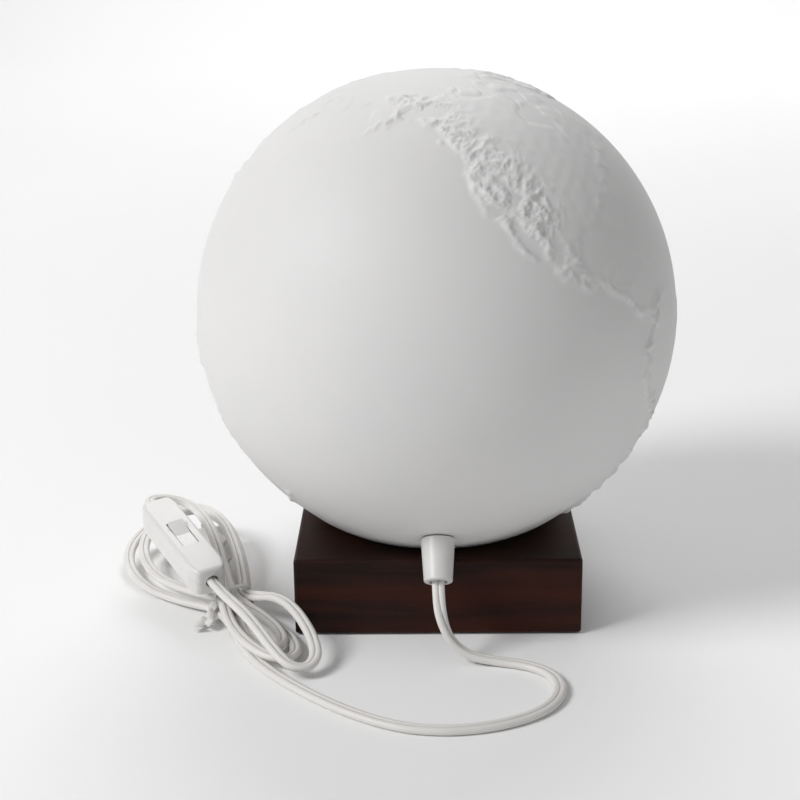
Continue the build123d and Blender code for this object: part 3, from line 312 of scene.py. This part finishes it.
# Mountain chains: half width in degrees, rise in millimetres, and their line as longitude,latitude
mountains = [
    (4.6, 0.62, "-150,68 -140,66 -135,63 -128,60 -122,54 -116,50 -112,46 -109,42 -106,38 -106,34"),
    (1.7, 0.55, "-152,60 -142,61 -135,58.5 -129,54 -123,50 -121.5,46 -122,42 -119,38 -117,34.5"),
    (1.2, 0.70, "-117,34.5 -116,31 -113,27 -111,24.5"),
    (2.0, 0.50, "-160,57 -153,61 -149,63 -143,62.5"),
    (1.6, 0.50, "-162,68 -152,68 -142,69"),
    (4.5, 0.50, "-118,42 -113,37 -109,33"),
    (2.4, 0.62, "-108.5,30 -106,25 -103,21 -100,19.3 -97,17.5 -92.5,15.8 -89,14.3 -84.5,10.5 -81,8.6"),
    (1.3, 0.45, "-102,27 -99.5,23 -98,20"),
    (1.6, 0.28, "-86,34 -82,36.5 -78.5,39.5 -74,43 -70,45.5"),
    (2.1, 1.00, "-73,10.5 -75.5,5 -78.5,0 -79,-6 -76,-11 -71,-15.5 -68,-20 -68.5,-26 -70,-33 -71,-40 "
                "-73,-47 -71,-53"),
    (3.0, 0.45, "-68,-17 -67,-22"),
    (3.5, 0.25, "-62,5 -65,2.5"),
    (4.5, 0.28, "-44,-20 -42,-14"),
    (8.0, 0.55, "-42,66 -40,72 -40,78"),
    (1.8, 0.50, "6.5,60 10,62.5 15,67 20,69"),
    (1.4, 0.75, "6,45 9,46.5 13,47"),
    (1.3, 0.40, "18,49.3 24,48 25.5,45.5"),
    (0.9, 0.35, "9,44.3 13.5,42.3 16,40"),
    (1.4, 0.40, "15,45 20,42 22,39"),
    (1.0, 0.45, "-1.5,43 2.5,42.4"),
    (2.2, 0.30, "-5,40.5 -3,37.3"),
    (1.6, 0.55, "-9,30.5 -4,33 2,34.8 8,36"),
    (2.2, 0.50, "30,37.5 36,38.5 42,39.5"),
    (1.1, 0.75, "39.5,43.5 47,41.5"),
    (2.3, 0.60, "44,36.5 50,31.5 56,28"),
    (1.1, 0.50, "50,36.5 56,37"),
    (2.1, 1.10, "67,34.5 73,36 78,33 84,29 92,28 97,28"),
    (4.5, 0.65, "80,34 88,33.5 96,33"),
    (1.7, 0.80, "70,41 78,42 88,43.5"),
    (2.1, 0.60, "85,49.5 92,48 98,46"),
    (1.9, 0.45, "92,52.5 102,51.5"),
    (2.6, 0.50, "99,30 101,25 103,22"),
    (1.8, 0.45, "128,71 130,66 136,62.5"),
    (2.4, 0.45, "142,66 150,63 158,63 170,66"),
    (1.4, 0.60, "157,52 160.5,57 165,60.5"),
    (2.1, 0.35, "118,56 130,55.5"),
    (1.6, 0.35, "134,45 139,50"),
    (1.4, 0.38, "59,52 59,58 60.5,64 66,68"),
    (2.6, 0.60, "37,14 38.5,9 39.5,7"),
    (2.4, 0.35, "36,1 35,-4 34,-10"),
    (1.7, 0.45, "28,-30.5 30,-27"),
    (4.0, 0.25, "22,-31 27,-28"),
    (1.8, 0.35, "5,23.5 8,23"),
    (1.8, 0.35, "17,21 19,20"),
    (1.4, 0.45, "38,27 42,19 45,14.5"),
    (1.1, 0.32, "74,19 76.5,11"),
    (1.2, 0.60, "131.5,33 136,35.5 138,36.5 140.5,39.5 143,43.3"),
    (1.2, 0.45, "121,17 125,8"),
    (1.4, 0.45, "116.5,6 114,1.5 112,1"),
    (1.0, 0.50, "96,4.5 100,0 104,-5"),
    (0.8, 0.50, "107,-7.2 113,-7.9"),
    (1.5, 0.80, "135,-3.8 139,-4.3 144,-6 148,-9"),
    (1.7, 0.35, "145,-17 149,-23 152,-29 149,-35 146.5,-37.5"),
    (1.0, 0.70, "168,-44.8 171.5,-42.8 176,-39"),
    (1.6, 0.35, "47,-17 46.5,-22"),
]


def line_of(words):
    """Longitude and latitude pairs of a written line."""
    return [tuple(float(number) for number in pair.split(",")) for pair in words.split()]


def directions(longitude, latitude):
    """Unit vectors from the globe's centre, for arrays in degrees."""
    turn, height = np.radians(longitude + meridian_turn), np.radians(latitude)
    return np.stack([np.cos(height) * np.cos(turn), np.cos(height) * np.sin(turn), np.sin(height)], axis=-1)


def ripples(places, wavelength, seed, waves=20):
    """A smooth random field on the sphere with a wavelength in degrees, near -1 to 1."""
    chance = np.random.default_rng(seed)
    ways = chance.normal(size=(waves, 3))
    ways *= 360 / wavelength / np.linalg.norm(ways, axis=1)[:, None]
    starts = chance.uniform(0, 2 * pi, waves)
    return sum(np.sin(places @ way + start) for way, start in zip(ways, starts)) / sqrt(waves)


def inside(outline, longitude, latitude):
    """Which of the places lie inside a closed outline."""
    within = np.zeros(longitude.shape, bool)
    for (x0, y0), (x1, y1) in zip(outline, outline[1:] + outline[:1]):
        if y0 != y1:
            between = (y0 > latitude) != (y1 > latitude)
            within ^= between & (longitude < x0 + (latitude - y0) * (x1 - x0) / (y1 - y0))
    return within


def arc_distance(places, line):
    """Distance in degrees from each place to a line on the sphere."""
    corners = directions(*np.array(line_of(line)).T)
    least = np.full(len(places), 9.0)
    for a, b in zip(corners, corners[1:]):
        share = np.clip((places - a) @ (b - a) / ((b - a) @ (b - a)), 0, 1)
        least = np.minimum(least, np.linalg.norm(places - a - share[:, None] * (b - a), axis=1))
    return np.degrees(least)


# Height of the land over the sea on a grid of the whole globe
columns, rows = 840, 396
lowest = asin(service_radius / wall_radius) - pi / 2
latitudes = np.degrees(np.linspace(lowest, pi / 2, rows + 1))[:-1]
longitudes = np.arange(columns) * 360 / columns - 180
longitude, latitude = np.meshgrid(longitudes, latitudes)
places = directions(longitude, latitude)
ragged = 0.35 * ripples(places, 5, 1) + 0.22 * ripples(places, 2, 2)
shaky = 0.35 * ripples(places, 5, 3) + 0.22 * ripples(places, 2, 4)
near_longitude = longitude + ragged / np.maximum(0.25, np.cos(np.radians(latitude)))
near_latitude = latitude + shaky
land = np.zeros(longitude.shape, bool)
for words in coasts:
    outline = line_of(words)
    land |= inside(outline, near_longitude, near_latitude)
    if max(x for x, y in outline) > 180:
        land |= inside(outline, near_longitude + 360, near_latitude)
land &= ~inside(line_of(inland_sea), near_longitude, near_latitude)
for x, y, radius in small_islands:
    land |= places @ directions(np.array(x), np.array(y)) > cos(radians(radius))
shore = land.astype(float)
for _ in range(3):
    shore = (np.roll(shore, 1, 1) + 2 * shore + np.roll(shore, -1, 1)) / 4
    padded = np.pad(shore, ((1, 1), (0, 0)), mode="edge")
    shore = (padded[:-2] + 2 * shore + padded[2:]) / 4
high = shore > 0.02
dry = places[high]
rise = land_rise + 0.08 * ripples(dry, 14, 5) + 0.05 * ripples(dry, 3, 6)
rough = np.array([noise.ridged_multi_fractal(Vector(p * 13), 0.85, 2.1, 4, 1.0, 2.0) for p in dry])
rough = (rough - rough.mean()) / rough.std()
for width, peak, line in mountains:
    belt = np.exp(-(arc_distance(dry, line) / width) ** 2)
    rise += belt * peak * np.clip(0.55 + 0.55 * rough, -0.2, 1.8)
heights = np.zeros(longitude.shape)
heights[high] = rise * shore[high]

# The seas swell to the full radius where the globe sits in the dish
seat = np.clip((-50 - latitude) / 8, 0, 1)
radii = sea_radius + (wall_radius - sea_radius) * seat**2 * (3 - 2 * seat) + heights
surface = places * radii[..., None]
eastward = np.roll(surface, -1, 1) - np.roll(surface, 1, 1)
northward = np.gradient(surface, axis=0)
normals = np.cross(eastward, northward)
normals /= np.linalg.norm(normals, axis=-1)[..., None]
surface = (surface + np.array(globe_centre)) * mm
sectors = 4
sector_columns = columns // sectors
for sector in range(sectors):
    share = [(sector * sector_columns + j) % columns for j in range(sector_columns + 1)]
    width = len(share)
    points = surface[:, share].reshape(-1, 3)
    pole = len(points)
    points = np.vstack([points, [0, 0, (globe_centre.z + sea_radius) * mm]])
    faces = [
        (i * width + j, i * width + j + 1, (i + 1) * width + j + 1, (i + 1) * width + j)
        for i in range(rows - 1) for j in range(width - 1)
    ]
    faces += [((rows - 1) * width + j, (rows - 1) * width + j + 1, pole) for j in range(width - 1)]
    piece = make_piece(f"globe_face_{sector}", points, faces, globe_white)
    face_normals = np.vstack([normals[:, share].reshape(-1, 3), [0, 0, 1]])
    piece.data.normals_split_custom_set_from_vertices(face_normals.tolist())
    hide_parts("globe_shell")
    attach(piece, "lamp")

# Globe, inner face: the smooth inside of the moulding and the cut edge of its service opening
rings = 96
low_outer = globe_centre.z - sqrt(wall_radius**2 - service_radius**2)
inner_low = asin(service_radius / inner_radius)
inner_high = pi * 0.985
profile = [(service_radius, low_outer)]
profile += [
    (inner_radius * sin(a), globe_centre.z - inner_radius * cos(a))
    for a in np.linspace(inner_low, inner_high, 60)
]
points = [
    (r * cos(2 * pi * j / rings) * mm, r * sin(2 * pi * j / rings) * mm, z * mm)
    for r, z in profile for j in range(rings)
]
faces = [
    (i * rings + (j + 1) % rings, i * rings + j, (i + 1) * rings + j, (i + 1) * rings + (j + 1) % rings)
    for i in range(len(profile) - 1) for j in range(rings)
]
faces.append(tuple(range((len(profile) - 1) * rings, len(profile) * rings)))
inner_face = make_piece("globe_inner_face", points, faces, globe_white)
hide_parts("globe_shell")
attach(inner_face, "lamp")

# Cord grip, lampholder cap, skirt and bulb housing
# White moulded polypropylene and polycarbonate, a little glossier than the globe. The grip is screwed to the
# nipple and pulls up against the globe from outside; the rest hangs inside, unseen until the globe is lifted.
grip_white = moulded_plastic("white_polypropylene", "D4D3D1", "DCDBD9", 0.36)
dress(["cord_grip", "holder_cap", "holder_skirt", "bulb_housing", "cord_clamps"], grip_white)


# Nipple, washer, nut, screws and pins
# Turned and pressed steel with bright zinc on it, and brass parts with nickel on them. Fine drawn or turned
# lines run along them and break up the reflections.
def drawn_metal(name, colour, dull, roughness, size):
    """Bare or plated metal with lines of a size in millimetres along X, Y and Z."""
    material = empty_material(name)
    lines = pattern(material, size, detail=4)
    tone = add(material, "ShaderNodeMix", {"Factor": lines, "A": linear(dull), "B": linear(colour)},
               data_type="RGBA")
    gloss = add(material, "ShaderNodeMapRange",
                {"Value": lines, "To Min": roughness, "To Max": roughness + 0.15})
    scratches = add(material, "ShaderNodeBump", {"Height": lines, "Distance": 0.01 * mm})
    shader = add(material, "ShaderNodeBsdfPrincipled", {
        "Base Color": tone, "Roughness": gloss, "Normal": scratches, "Metallic": 1.0,
    })
    add(material, "ShaderNodeOutputMaterial", {"Surface": shader})
    return material


zinc = drawn_metal("zinc_plated_steel", "CDCDC8", "A9AAA8", 0.28, (6, 0.25, 0.25))
nickel = drawn_metal("nickel_plated_brass", "D6D1C6", "B4AFA5", 0.18, (0.3, 0.3, 5))
brass = drawn_metal("brass_strip", "DDBF72", "B8964A", 0.26, (6, 0.25, 0.25))
dress(["nipple", "wall_washer", "lock_nut", "terminal_screws", "switch_screws", "rocker_pin"], zinc)
dress(["holder_thread", "bulb_cap", "plug_pins"], nickel)
dress(["centre_contact", "terminal_blocks", "contact_bridge", "switch_contacts"], brass)

# Insulating insert and bulb tip
# Pressed steatite, an unglazed ceramic, fired hard so that it stands the heat of the contacts. It is cream
# and quite matt, with small darker specks.
steatite = empty_material("unglazed_steatite")
specks = pattern(steatite, (0.7, 0.7, 0.7), detail=2)
speck_share = add(steatite, "ShaderNodeMapRange", {"Value": specks, "From Min": 0.3, "From Max": 0.45})
speck_tone = add(steatite, "ShaderNodeMix", {
    "Factor": speck_share, "A": linear("B7A88C"), "B": linear("D9CFBA"),
}, data_type="RGBA")
speck_dents = add(steatite, "ShaderNodeBump", {"Height": specks, "Distance": 0.03 * mm})
steatite_shader = add(steatite, "ShaderNodeBsdfPrincipled",
                      {"Base Color": speck_tone, "Roughness": 0.7, "Normal": speck_dents})
add(steatite, "ShaderNodeOutputMaterial", {"Surface": steatite_shader})
dress(["holder_insert", "bulb_tip"], steatite)

# Board and diffuser of the bulb
# The board is aluminium under a white lacquer. The diffuser is opal polycarbonate, blown as one thin bulb,
# even in tone with a soft wide highlight.
lacquer = moulded_plastic("white_lacquer", "DFE2DF", "EEF0ED", 0.3, patch=6)
opal = moulded_plastic("opal_polycarbonate", "F0EFEA", "F7F6F2", 0.3, depth=0.005, patch=30)
dress(["led_board"], lacquer)
dress(["bulb_diffuser"], opal)

# Cores and pin sleeves
# Soft brown vinyl extruded over the two cores, and hard black nylon moulded on the pins of the plug. Both are
# plain in tone, the nylon a little glossier.
core_vinyl = moulded_plastic("core_vinyl", "6A4530", "7C533A", 0.5, patch=5)
sleeve_nylon = moulded_plastic("black_nylon", "141416", "202023", 0.42, patch=5)
dress(["core_wires"], core_vinyl)
dress(["pin_sleeves"], sleeve_nylon)

# Cord
# Flat twin cord: two stranded cores side by side in one sheath of soft white vinyl, with a fine groove where
# they meet. It is 6.0 mm wide and 3.6 mm thick, lies flat on the table, and turns on its edge under the tie.
cord_half = 3.0
cord_lobe = 1.8
cord_lift = 1.95
waist = Vector((-103.0, -46.0))
upper_direction = 110.0
lower_direction = -61.0
place_pitch = 5.6
layer_pitch = 6.2
lobe_rise = 14.6
lobe_steps = 10
waist_bottom = 3.8
waist_hump = 1.75
layers_settle = 1.5
switch_centre = Vector((-129.5, -30.0, 31.5))
switch_yaw = radians(123)
switch_pitch = radians(13)
switch_length = 68.0
cord_in_switch = 9.0
straight_from_switch = 5.0
bend_before_switch = 13.0
plug_distance = 52.0
plug_across = -1.0
plug_thickness = 13.6
plug_relief_length = 20.0
cord_in_plug = 10.0
straight_from_plug = 13.0
grip_slope = radians(39.0)
grip_reach = 17.6
straight_from_grip = 9.0
waist_turn = radians(65)
waist_turn_reach = 15.0
fold_turn = radians(75)
fold_radius = 8.0


def at_waist(along, across, direction):
    """A place in plan, measured from the waist of the hank along a direction and to its right."""
    step = radians(direction)
    x = waist.x + along * cos(step) + across * sin(step)
    y = waist.y + along * sin(step) - across * cos(step)
    return (x, y)


def strand(place, level):
    """Where a strand crosses the waist: places lie side by side, levels on each other."""
    x, y = at_waist(0, place * place_pitch, (upper_direction + lower_direction + 180) / 2)
    return (x, y, waist_bottom + level * layer_pitch)


def lobe(direction, length, out_width, back_width, levels, rise=0.0, places=(-1, 1)):
    """One lobe of the hank: out along its left side, round the far end and back along its right."""
    points = []
    for step in range(1, lobe_steps):
        share = step / lobe_steps
        reach = sin(pi * share) ** 1.6
        place, width = (places[0], out_width) if share < 0.5 else (places[1], back_width)
        across = 0.9 * place * place_pitch * (1 - reach)
        across -= width * sin(2 * pi * share) * reach**0.25
        level = levels[0] + (levels[1] - levels[0]) * min(1, max(0, 2.2 * share - 0.5))
        height = cord_lift + level * (layer_pitch - layers_settle * reach)
        height += waist_hump * max(0, 1 - 3.5 * reach)
        height += rise * max(0, min(1, 4 * share - 0.9, 4.5 - 5 * share))
        points.append((*at_waist(length * reach, across, direction), height))
    return points


switch_dir = Vector((
    cos(switch_yaw) * cos(switch_pitch),
    sin(switch_yaw) * cos(switch_pitch),
    sin(switch_pitch),
))
plug_dir = Vector((cos(radians(upper_direction)), sin(radians(upper_direction)), 0))
plug_back = Vector((*at_waist(plug_distance, plug_across, upper_direction), plug_thickness / 2))
grip_axis = Vector((0, -sin(grip_slope), -cos(grip_slope)))
grip_end = globe_centre + grip_axis * (wall_radius + grip_reach)


def along_switch(distance, shift=(0, 0, 0)):
    """A point on the switch's long axis, moved by a small shift."""
    return tuple(switch_centre + switch_dir * distance + Vector(shift))


def along_plug(distance):
    """A point on the plug's long axis, measured from its back face."""
    return tuple(plug_back + plug_dir * distance)


free_route = [
    tuple(grip_end),
    tuple(grip_end + grip_axis * straight_from_grip),
    (1.2, -97.0, 22.0),
    (5.7, -99.6, 11.0),
    (15.2, -100.6, 4.0),
    (28.2, -101.6, cord_lift),
    (42.0, -105.5, cord_lift),
    (52.5, -114.0, cord_lift),
    (56.0, -128.0, cord_lift),
    (51.0, -143.0, cord_lift),
    (39.0, -154.5, cord_lift),
    (22.0, -162.5, cord_lift),
    (2.0, -165.8, cord_lift),
    (-18.0, -162.5, cord_lift),
    (-38.0, -151.0, cord_lift),
    (-57.0, -135.0, cord_lift),
    (-75.0, -116.0, cord_lift),
    (-90.5, -94.0, cord_lift),
]
hank_route = [strand(-1, 0)]
hank_route += lobe(upper_direction, 107, 46, 17, (0, 0), rise=lobe_rise)
hank_route += [strand(1, 0)]
hank_route += lobe(lower_direction - 1, 66, 13, 11, (0, 1))
hank_route += [strand(-1, 1)]
hank_route += lobe(upper_direction, 100, 37, 13, (1, 1), rise=lobe_rise)
hank_route += [
    strand(1, 1),
    (-90.0, -52.5, 13.0),
    (-81.0, -61.0, 17.0),
    (-72.6, -74.8, 20.0),
    (-65.5, -86.5, 18.0),
    (-59.5, -97.0, 12.5),
    (-57.0, -106.5, 7.5),
    (-61.0, -114.0, 5.5),
    (-69.0, -115.5, 7.0),
    (-77.5, -106.5, 11.5),
    (-85.5, -94.0, 16.0),
    (-94.0, -82.0, 19.5),
    along_switch(-switch_length / 2 - bend_before_switch, (1.5, -1, 0)),
    along_switch(-switch_length / 2 - straight_from_switch),
    along_switch(-switch_length / 2 + cord_in_switch),
]
hank_start = tuple((Vector(free_route[-1]) + Vector(hank_route[0])) / 2)
free_route += [hank_start]
hank_route = [hank_start] + hank_route
lead_route = [
    along_switch(switch_length / 2 - cord_in_switch),
    along_switch(switch_length / 2 + straight_from_switch),
    (-152.5, 9.0, 40.5),
    (-147.5, 18.0, 38.5),
    (-138.5, 21.5, 35.5),
    (-129.5, 18.0, 32.5),
    (-122.5, 9.0, 28.5),
    (-117.0, -3.0, 24.0),
    (-112.5, -16.0, 18.8),
    (-108.0, -30.0, 13.4),
    strand(0, 1),
]
lead_route += lobe(lower_direction + 2, 52, 8, 8, (1, 0), places=(0.35, -0.9))
lead_route += [
    strand(0, 0),
    along_plug(-plug_relief_length - straight_from_plug),
    along_plug(cord_in_plug - plug_relief_length),
]

cord_vinyl = moulded_plastic("soft_white_vinyl", "DCD9D6", "E8E6E3", 0.42, grain=0.35, depth=0.012, patch=14)
dress(["inner_cord", "cord_free", "cord_hank", "cord_plug_lead"], cord_vinyl)


def smooth_line(route):
    """Points in metres along the NURBS spline that has the route's points as its control points."""
    curve = bpy.data.curves.new("route", "CURVE")
    curve.dimensions = "3D"
    spline = curve.splines.new("NURBS")
    spline.points.add(len(route) - 1)
    for control, point in zip(spline.points, route):
        control.co = (*(Vector(point) * mm), 1)
    spline.order_u = 3
    spline.use_endpoint_u = True
    spline.resolution_u = 10
    holder = bpy.data.objects.new("route", curve)
    mesh = bpy.data.meshes.new_from_object(holder)
    line = [vertex.co.copy() for vertex in mesh.vertices]
    bpy.data.objects.remove(holder)
    bpy.data.curves.remove(curve)
    bpy.data.meshes.remove(mesh)
    return line


def twin_section():
    """Outline of the flat twin cord across its run: two round lobes that meet in a fine groove."""
    lobe_centre = cord_half - cord_lobe
    open_angle = pi - 0.75
    turns = [open_angle * (i / 7 - 1) for i in range(15)]
    right = [(lobe_centre + cord_lobe * cos(turn), cord_lobe * sin(turn)) for turn in turns]
    return right + [(-across, -height) for across, height in right]


def swept(name, line, ways, section, material):
    """A closed section swept along a line; ways gives the section's width direction at each point."""
    points, faces = [], []
    for i, (place, way) in enumerate(zip(line, ways)):
        tangent = (line[min(i + 1, len(line) - 1)] - line[max(i - 1, 0)]).normalized()
        wide = (way - tangent * way.dot(tangent)).normalized()
        thick = tangent.cross(wide)
        points += [place + (wide * across + thick * height) * mm for across, height in section]
    size = len(section)
    for i in range(len(line) - 1):
        for j in range(size):
            k = (j + 1) % size
            faces.append((i * size + j, i * size + k, (i + 1) * size + k, (i + 1) * size + j))
    faces.append(tuple(reversed(range(size))))
    faces.append(tuple(range((len(line) - 1) * size, len(line) * size)))
    return make_piece(name, [tuple(point) for point in points], faces, material)


def cord_ways(line):
    """The cord's width lies level, but turns on its edge at the waist and where it bends tightly."""
    reach = 5
    turns = []
    for i, place in enumerate(line):
        run_in = place - line[max(i - reach, 0)]
        run_out = line[min(i + reach, len(line) - 1)] - place
        radius = (run_in.length + run_out.length) / 2 / max(run_in.angle(run_out, 0), 0.001) / mm
        away = (Vector((place.x, place.y)) / mm - waist).length
        at_tie = waist_turn * exp(-((away / waist_turn_reach) ** 2))
        in_fold = fold_turn * min(1, max(0, (fold_radius - radius) / 4))
        turns.append(max(at_tie, in_fold))
    ways = []
    for i in range(len(line)):
        near = turns[max(i - 2 * reach, 0):i + 2 * reach + 1]
        turn = sum(near) / len(near)
        tangent = (line[min(i + 1, len(line) - 1)] - line[max(i - 1, 0)]).normalized()
        level = Vector((0, 0, 1)).cross(tangent).normalized()
        ways.append(level * cos(turn) + tangent.cross(level) * sin(turn))
    return ways


free_line, hank_line, lead_line = (smooth_line(route) for route in (free_route, hank_route, lead_route))
free_run = swept("free_run", free_line, cord_ways(free_line), twin_section(), cord_vinyl)
hank_run = swept("hank_run", hank_line, cord_ways(hank_line), twin_section(), cord_vinyl)
plug_lead = swept("plug_lead", lead_line, cord_ways(lead_line), twin_section(), cord_vinyl)
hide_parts("cord_free")
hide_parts("cord_hank")
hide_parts("cord_plug_lead")
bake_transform(free_run)
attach(hank_run, "stand")
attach(plug_lead, "stand")

# Tie
# A strip of white paper with a thin wire in it, wound once round the strands at the waist. Its two ends are
# twisted together and bent down to the table, creased and a little frayed in tone.
tie_paper = empty_material("tie_paper")
fibres = pattern(tie_paper, (1.6, 0.5, 0.5), detail=5)
fibre_tone = add(tie_paper, "ShaderNodeMix", {"Factor": fibres, "A": linear("CFCECB"), "B": linear("EDECEA")},
                 data_type="RGBA")
fibre_dents = add(tie_paper, "ShaderNodeBump", {"Height": fibres, "Distance": 0.08 * mm})
tie_shader = add(tie_paper, "ShaderNodeBsdfPrincipled",
                 {"Base Color": fibre_tone, "Roughness": 0.72, "Normal": fibre_dents})
add(tie_paper, "ShaderNodeOutputMaterial", {"Surface": tie_shader})
dress(["hank_tie"], tie_paper)
tie_half_width = 2.1
tie_half_thickness = 0.17
tie_direction = radians((upper_direction + lower_direction + 180) / 2)
tie_across = Vector((sin(tie_direction), -cos(tie_direction), 0))
tie_along = Vector((cos(tie_direction), sin(tie_direction), 0))
tie_middle = Vector((waist.x, waist.y, 8.0))
band_half_width = 9.6
band_half_height = 7.2
band_steps = 56
tie_section = [
    (across * tie_half_width, height * tie_half_thickness)
    for across, height in [(-1, -1), (-0.3, -1), (0, -1.7), (0.3, -1), (1, -1), (1, 1), (0.3, 1), (0, 1.7),
                           (-0.3, 1), (-1, 1)]
]
band_line, band_ways = [], []
for step in range(band_steps + 1):
    turn = 2 * pi * step / band_steps
    bulge = (abs(cos(turn)) ** 4 + abs(sin(turn)) ** 4) ** -0.25
    place = tie_middle + tie_across * (band_half_width * bulge * cos(turn))
    place += Vector((0, 0, band_half_height * bulge * sin(turn)))
    band_line.append((place + tie_along * (0.5 * sin(3 * turn))) * mm)
    band_ways.append(tie_along + Vector((0, 0, 0.12 * sin(2 * turn))))
tie_band = swept("tie_band", band_line, band_ways, tie_section, tie_paper)
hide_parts("hank_tie")
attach(tie_band, "stand")
tail_half_width = 2.6
tail_length = 17.0
tail_steps = 32
tail_start = Vector((waist.x, waist.y, 7.5)) - tie_across * 9.5
tail_down = Vector((-0.35, -1.0, 0))
for end in (0, 1):
    tail_line, tail_ways = [], []
    for step in range(tail_steps + 1):
        share = step / tail_steps
        crumple = sin(2 * pi * (2.2 * share + 0.35 * end))
        sideways = Vector((1, -0.35, 0)) * ((2.2 * end - 0.6) * share + 0.5 * crumple * share)
        height = 6.0 * (1 - share) ** 1.5 + 2.0 + 1.3 * end + 0.4 * crumple
        place = tail_start + tail_down * (tail_length - 3 * end) * share + sideways * 1.6
        tail_line.append(Vector((place.x, place.y, height)) * mm)
        tail_ways.append(Vector((1, 0.2 * crumple, 0.75 * sin(2 * pi * (1.1 * share + 0.3 * end)))))
    tail_section = [(across * tail_half_width / tie_half_width, height) for across, height in tie_section]
    tail = swept(f"tie_tail_{end}", tail_line, tail_ways, tail_section, tie_paper)
    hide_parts("hank_tie")
    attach(tail, "stand")

# Switch and plug
# Two shells of white urea moulding screwed together from below, with a rocker in the upper one, and a plug
# moulded round the end of the cord. Harder and glossier than the globe.
switch_white = moulded_plastic("white_urea", "D8D7D5", "E0DFDD", 0.3, depth=0.004)
rocker_white = moulded_plastic("white_rocker_urea", "DAD9D7", "E2E1DF", 0.26, depth=0.004, patch=9)
dress(["switch_bottom", "switch_top", "plug_body"], switch_white)
dress(["switch_rocker"], rocker_white)

# Studio
# A white paper sweep, turned up behind the lamp, with a large soft light at the upper left, a little light
# from the right and a light on the paper behind.
sweep_paper = empty_material("white_paper_sweep")
cloud = pattern(sweep_paper, (900, 900, 900), detail=1)
cloud_tone = add(sweep_paper, "ShaderNodeMix", {
    "Factor": cloud, "A": linear("F2F2F2"), "B": linear("F6F6F6"),
}, data_type="RGBA")
sweep_shader = add(sweep_paper, "ShaderNodeBsdfPrincipled",
                   {"Base Color": cloud_tone, "Roughness": 0.9, "Specular IOR Level": 0.1})
add(sweep_paper, "ShaderNodeOutputMaterial", {"Surface": sweep_shader})
bend = [(-6.0, 0.0), (2.2, 0.0)]
bend += [(2.2 + 1.2 * sin(radians(a)), 1.2 - 1.2 * cos(radians(a))) for a in range(10, 91, 10)]
bend += [(3.4, 6.0)]
sweep_points = [(x, y, z) for y, z in bend for x in (-6.0, 6.0)]
sweep_faces = [(2 * i, 2 * i + 1, 2 * i + 3, 2 * i + 2) for i in range(len(bend) - 1)]
make_piece("paper_sweep", sweep_points, sweep_faces, sweep_paper)


def soft_light(name, place, aim, size, power):
    """A round soft light at a place, turned to where it is aimed."""
    data = bpy.data.lights.new(name, "AREA")
    data.shape = "DISK"
    data.size = size
    data.energy = power
    light = bpy.data.objects.new(name, data)
    light.location = place
    light.rotation_euler = (Vector(aim) - Vector(place)).to_track_quat("-Z", "Y").to_euler()
    scene.collection.objects.link(light)


lamp_middle = (0, 0, 0.12)
soft_light("key_light", (-1.85, -0.95, 1.75), lamp_middle, 1.0, 43)
soft_light("side_light", (1.7, -1.6, 0.9), lamp_middle, 1.6, 1)
soft_light("paper_light", (0.3, 2.3, 2.6), (0.2, 2.2, 0), 2.0, 44)
world = bpy.data.worlds.new("studio")
scene.world = world
world.use_nodes = True
world.node_tree.nodes["Background"].inputs["Color"].default_value = (1, 1, 1, 1)
world.node_tree.nodes["Background"].inputs["Strength"].default_value = 0.32
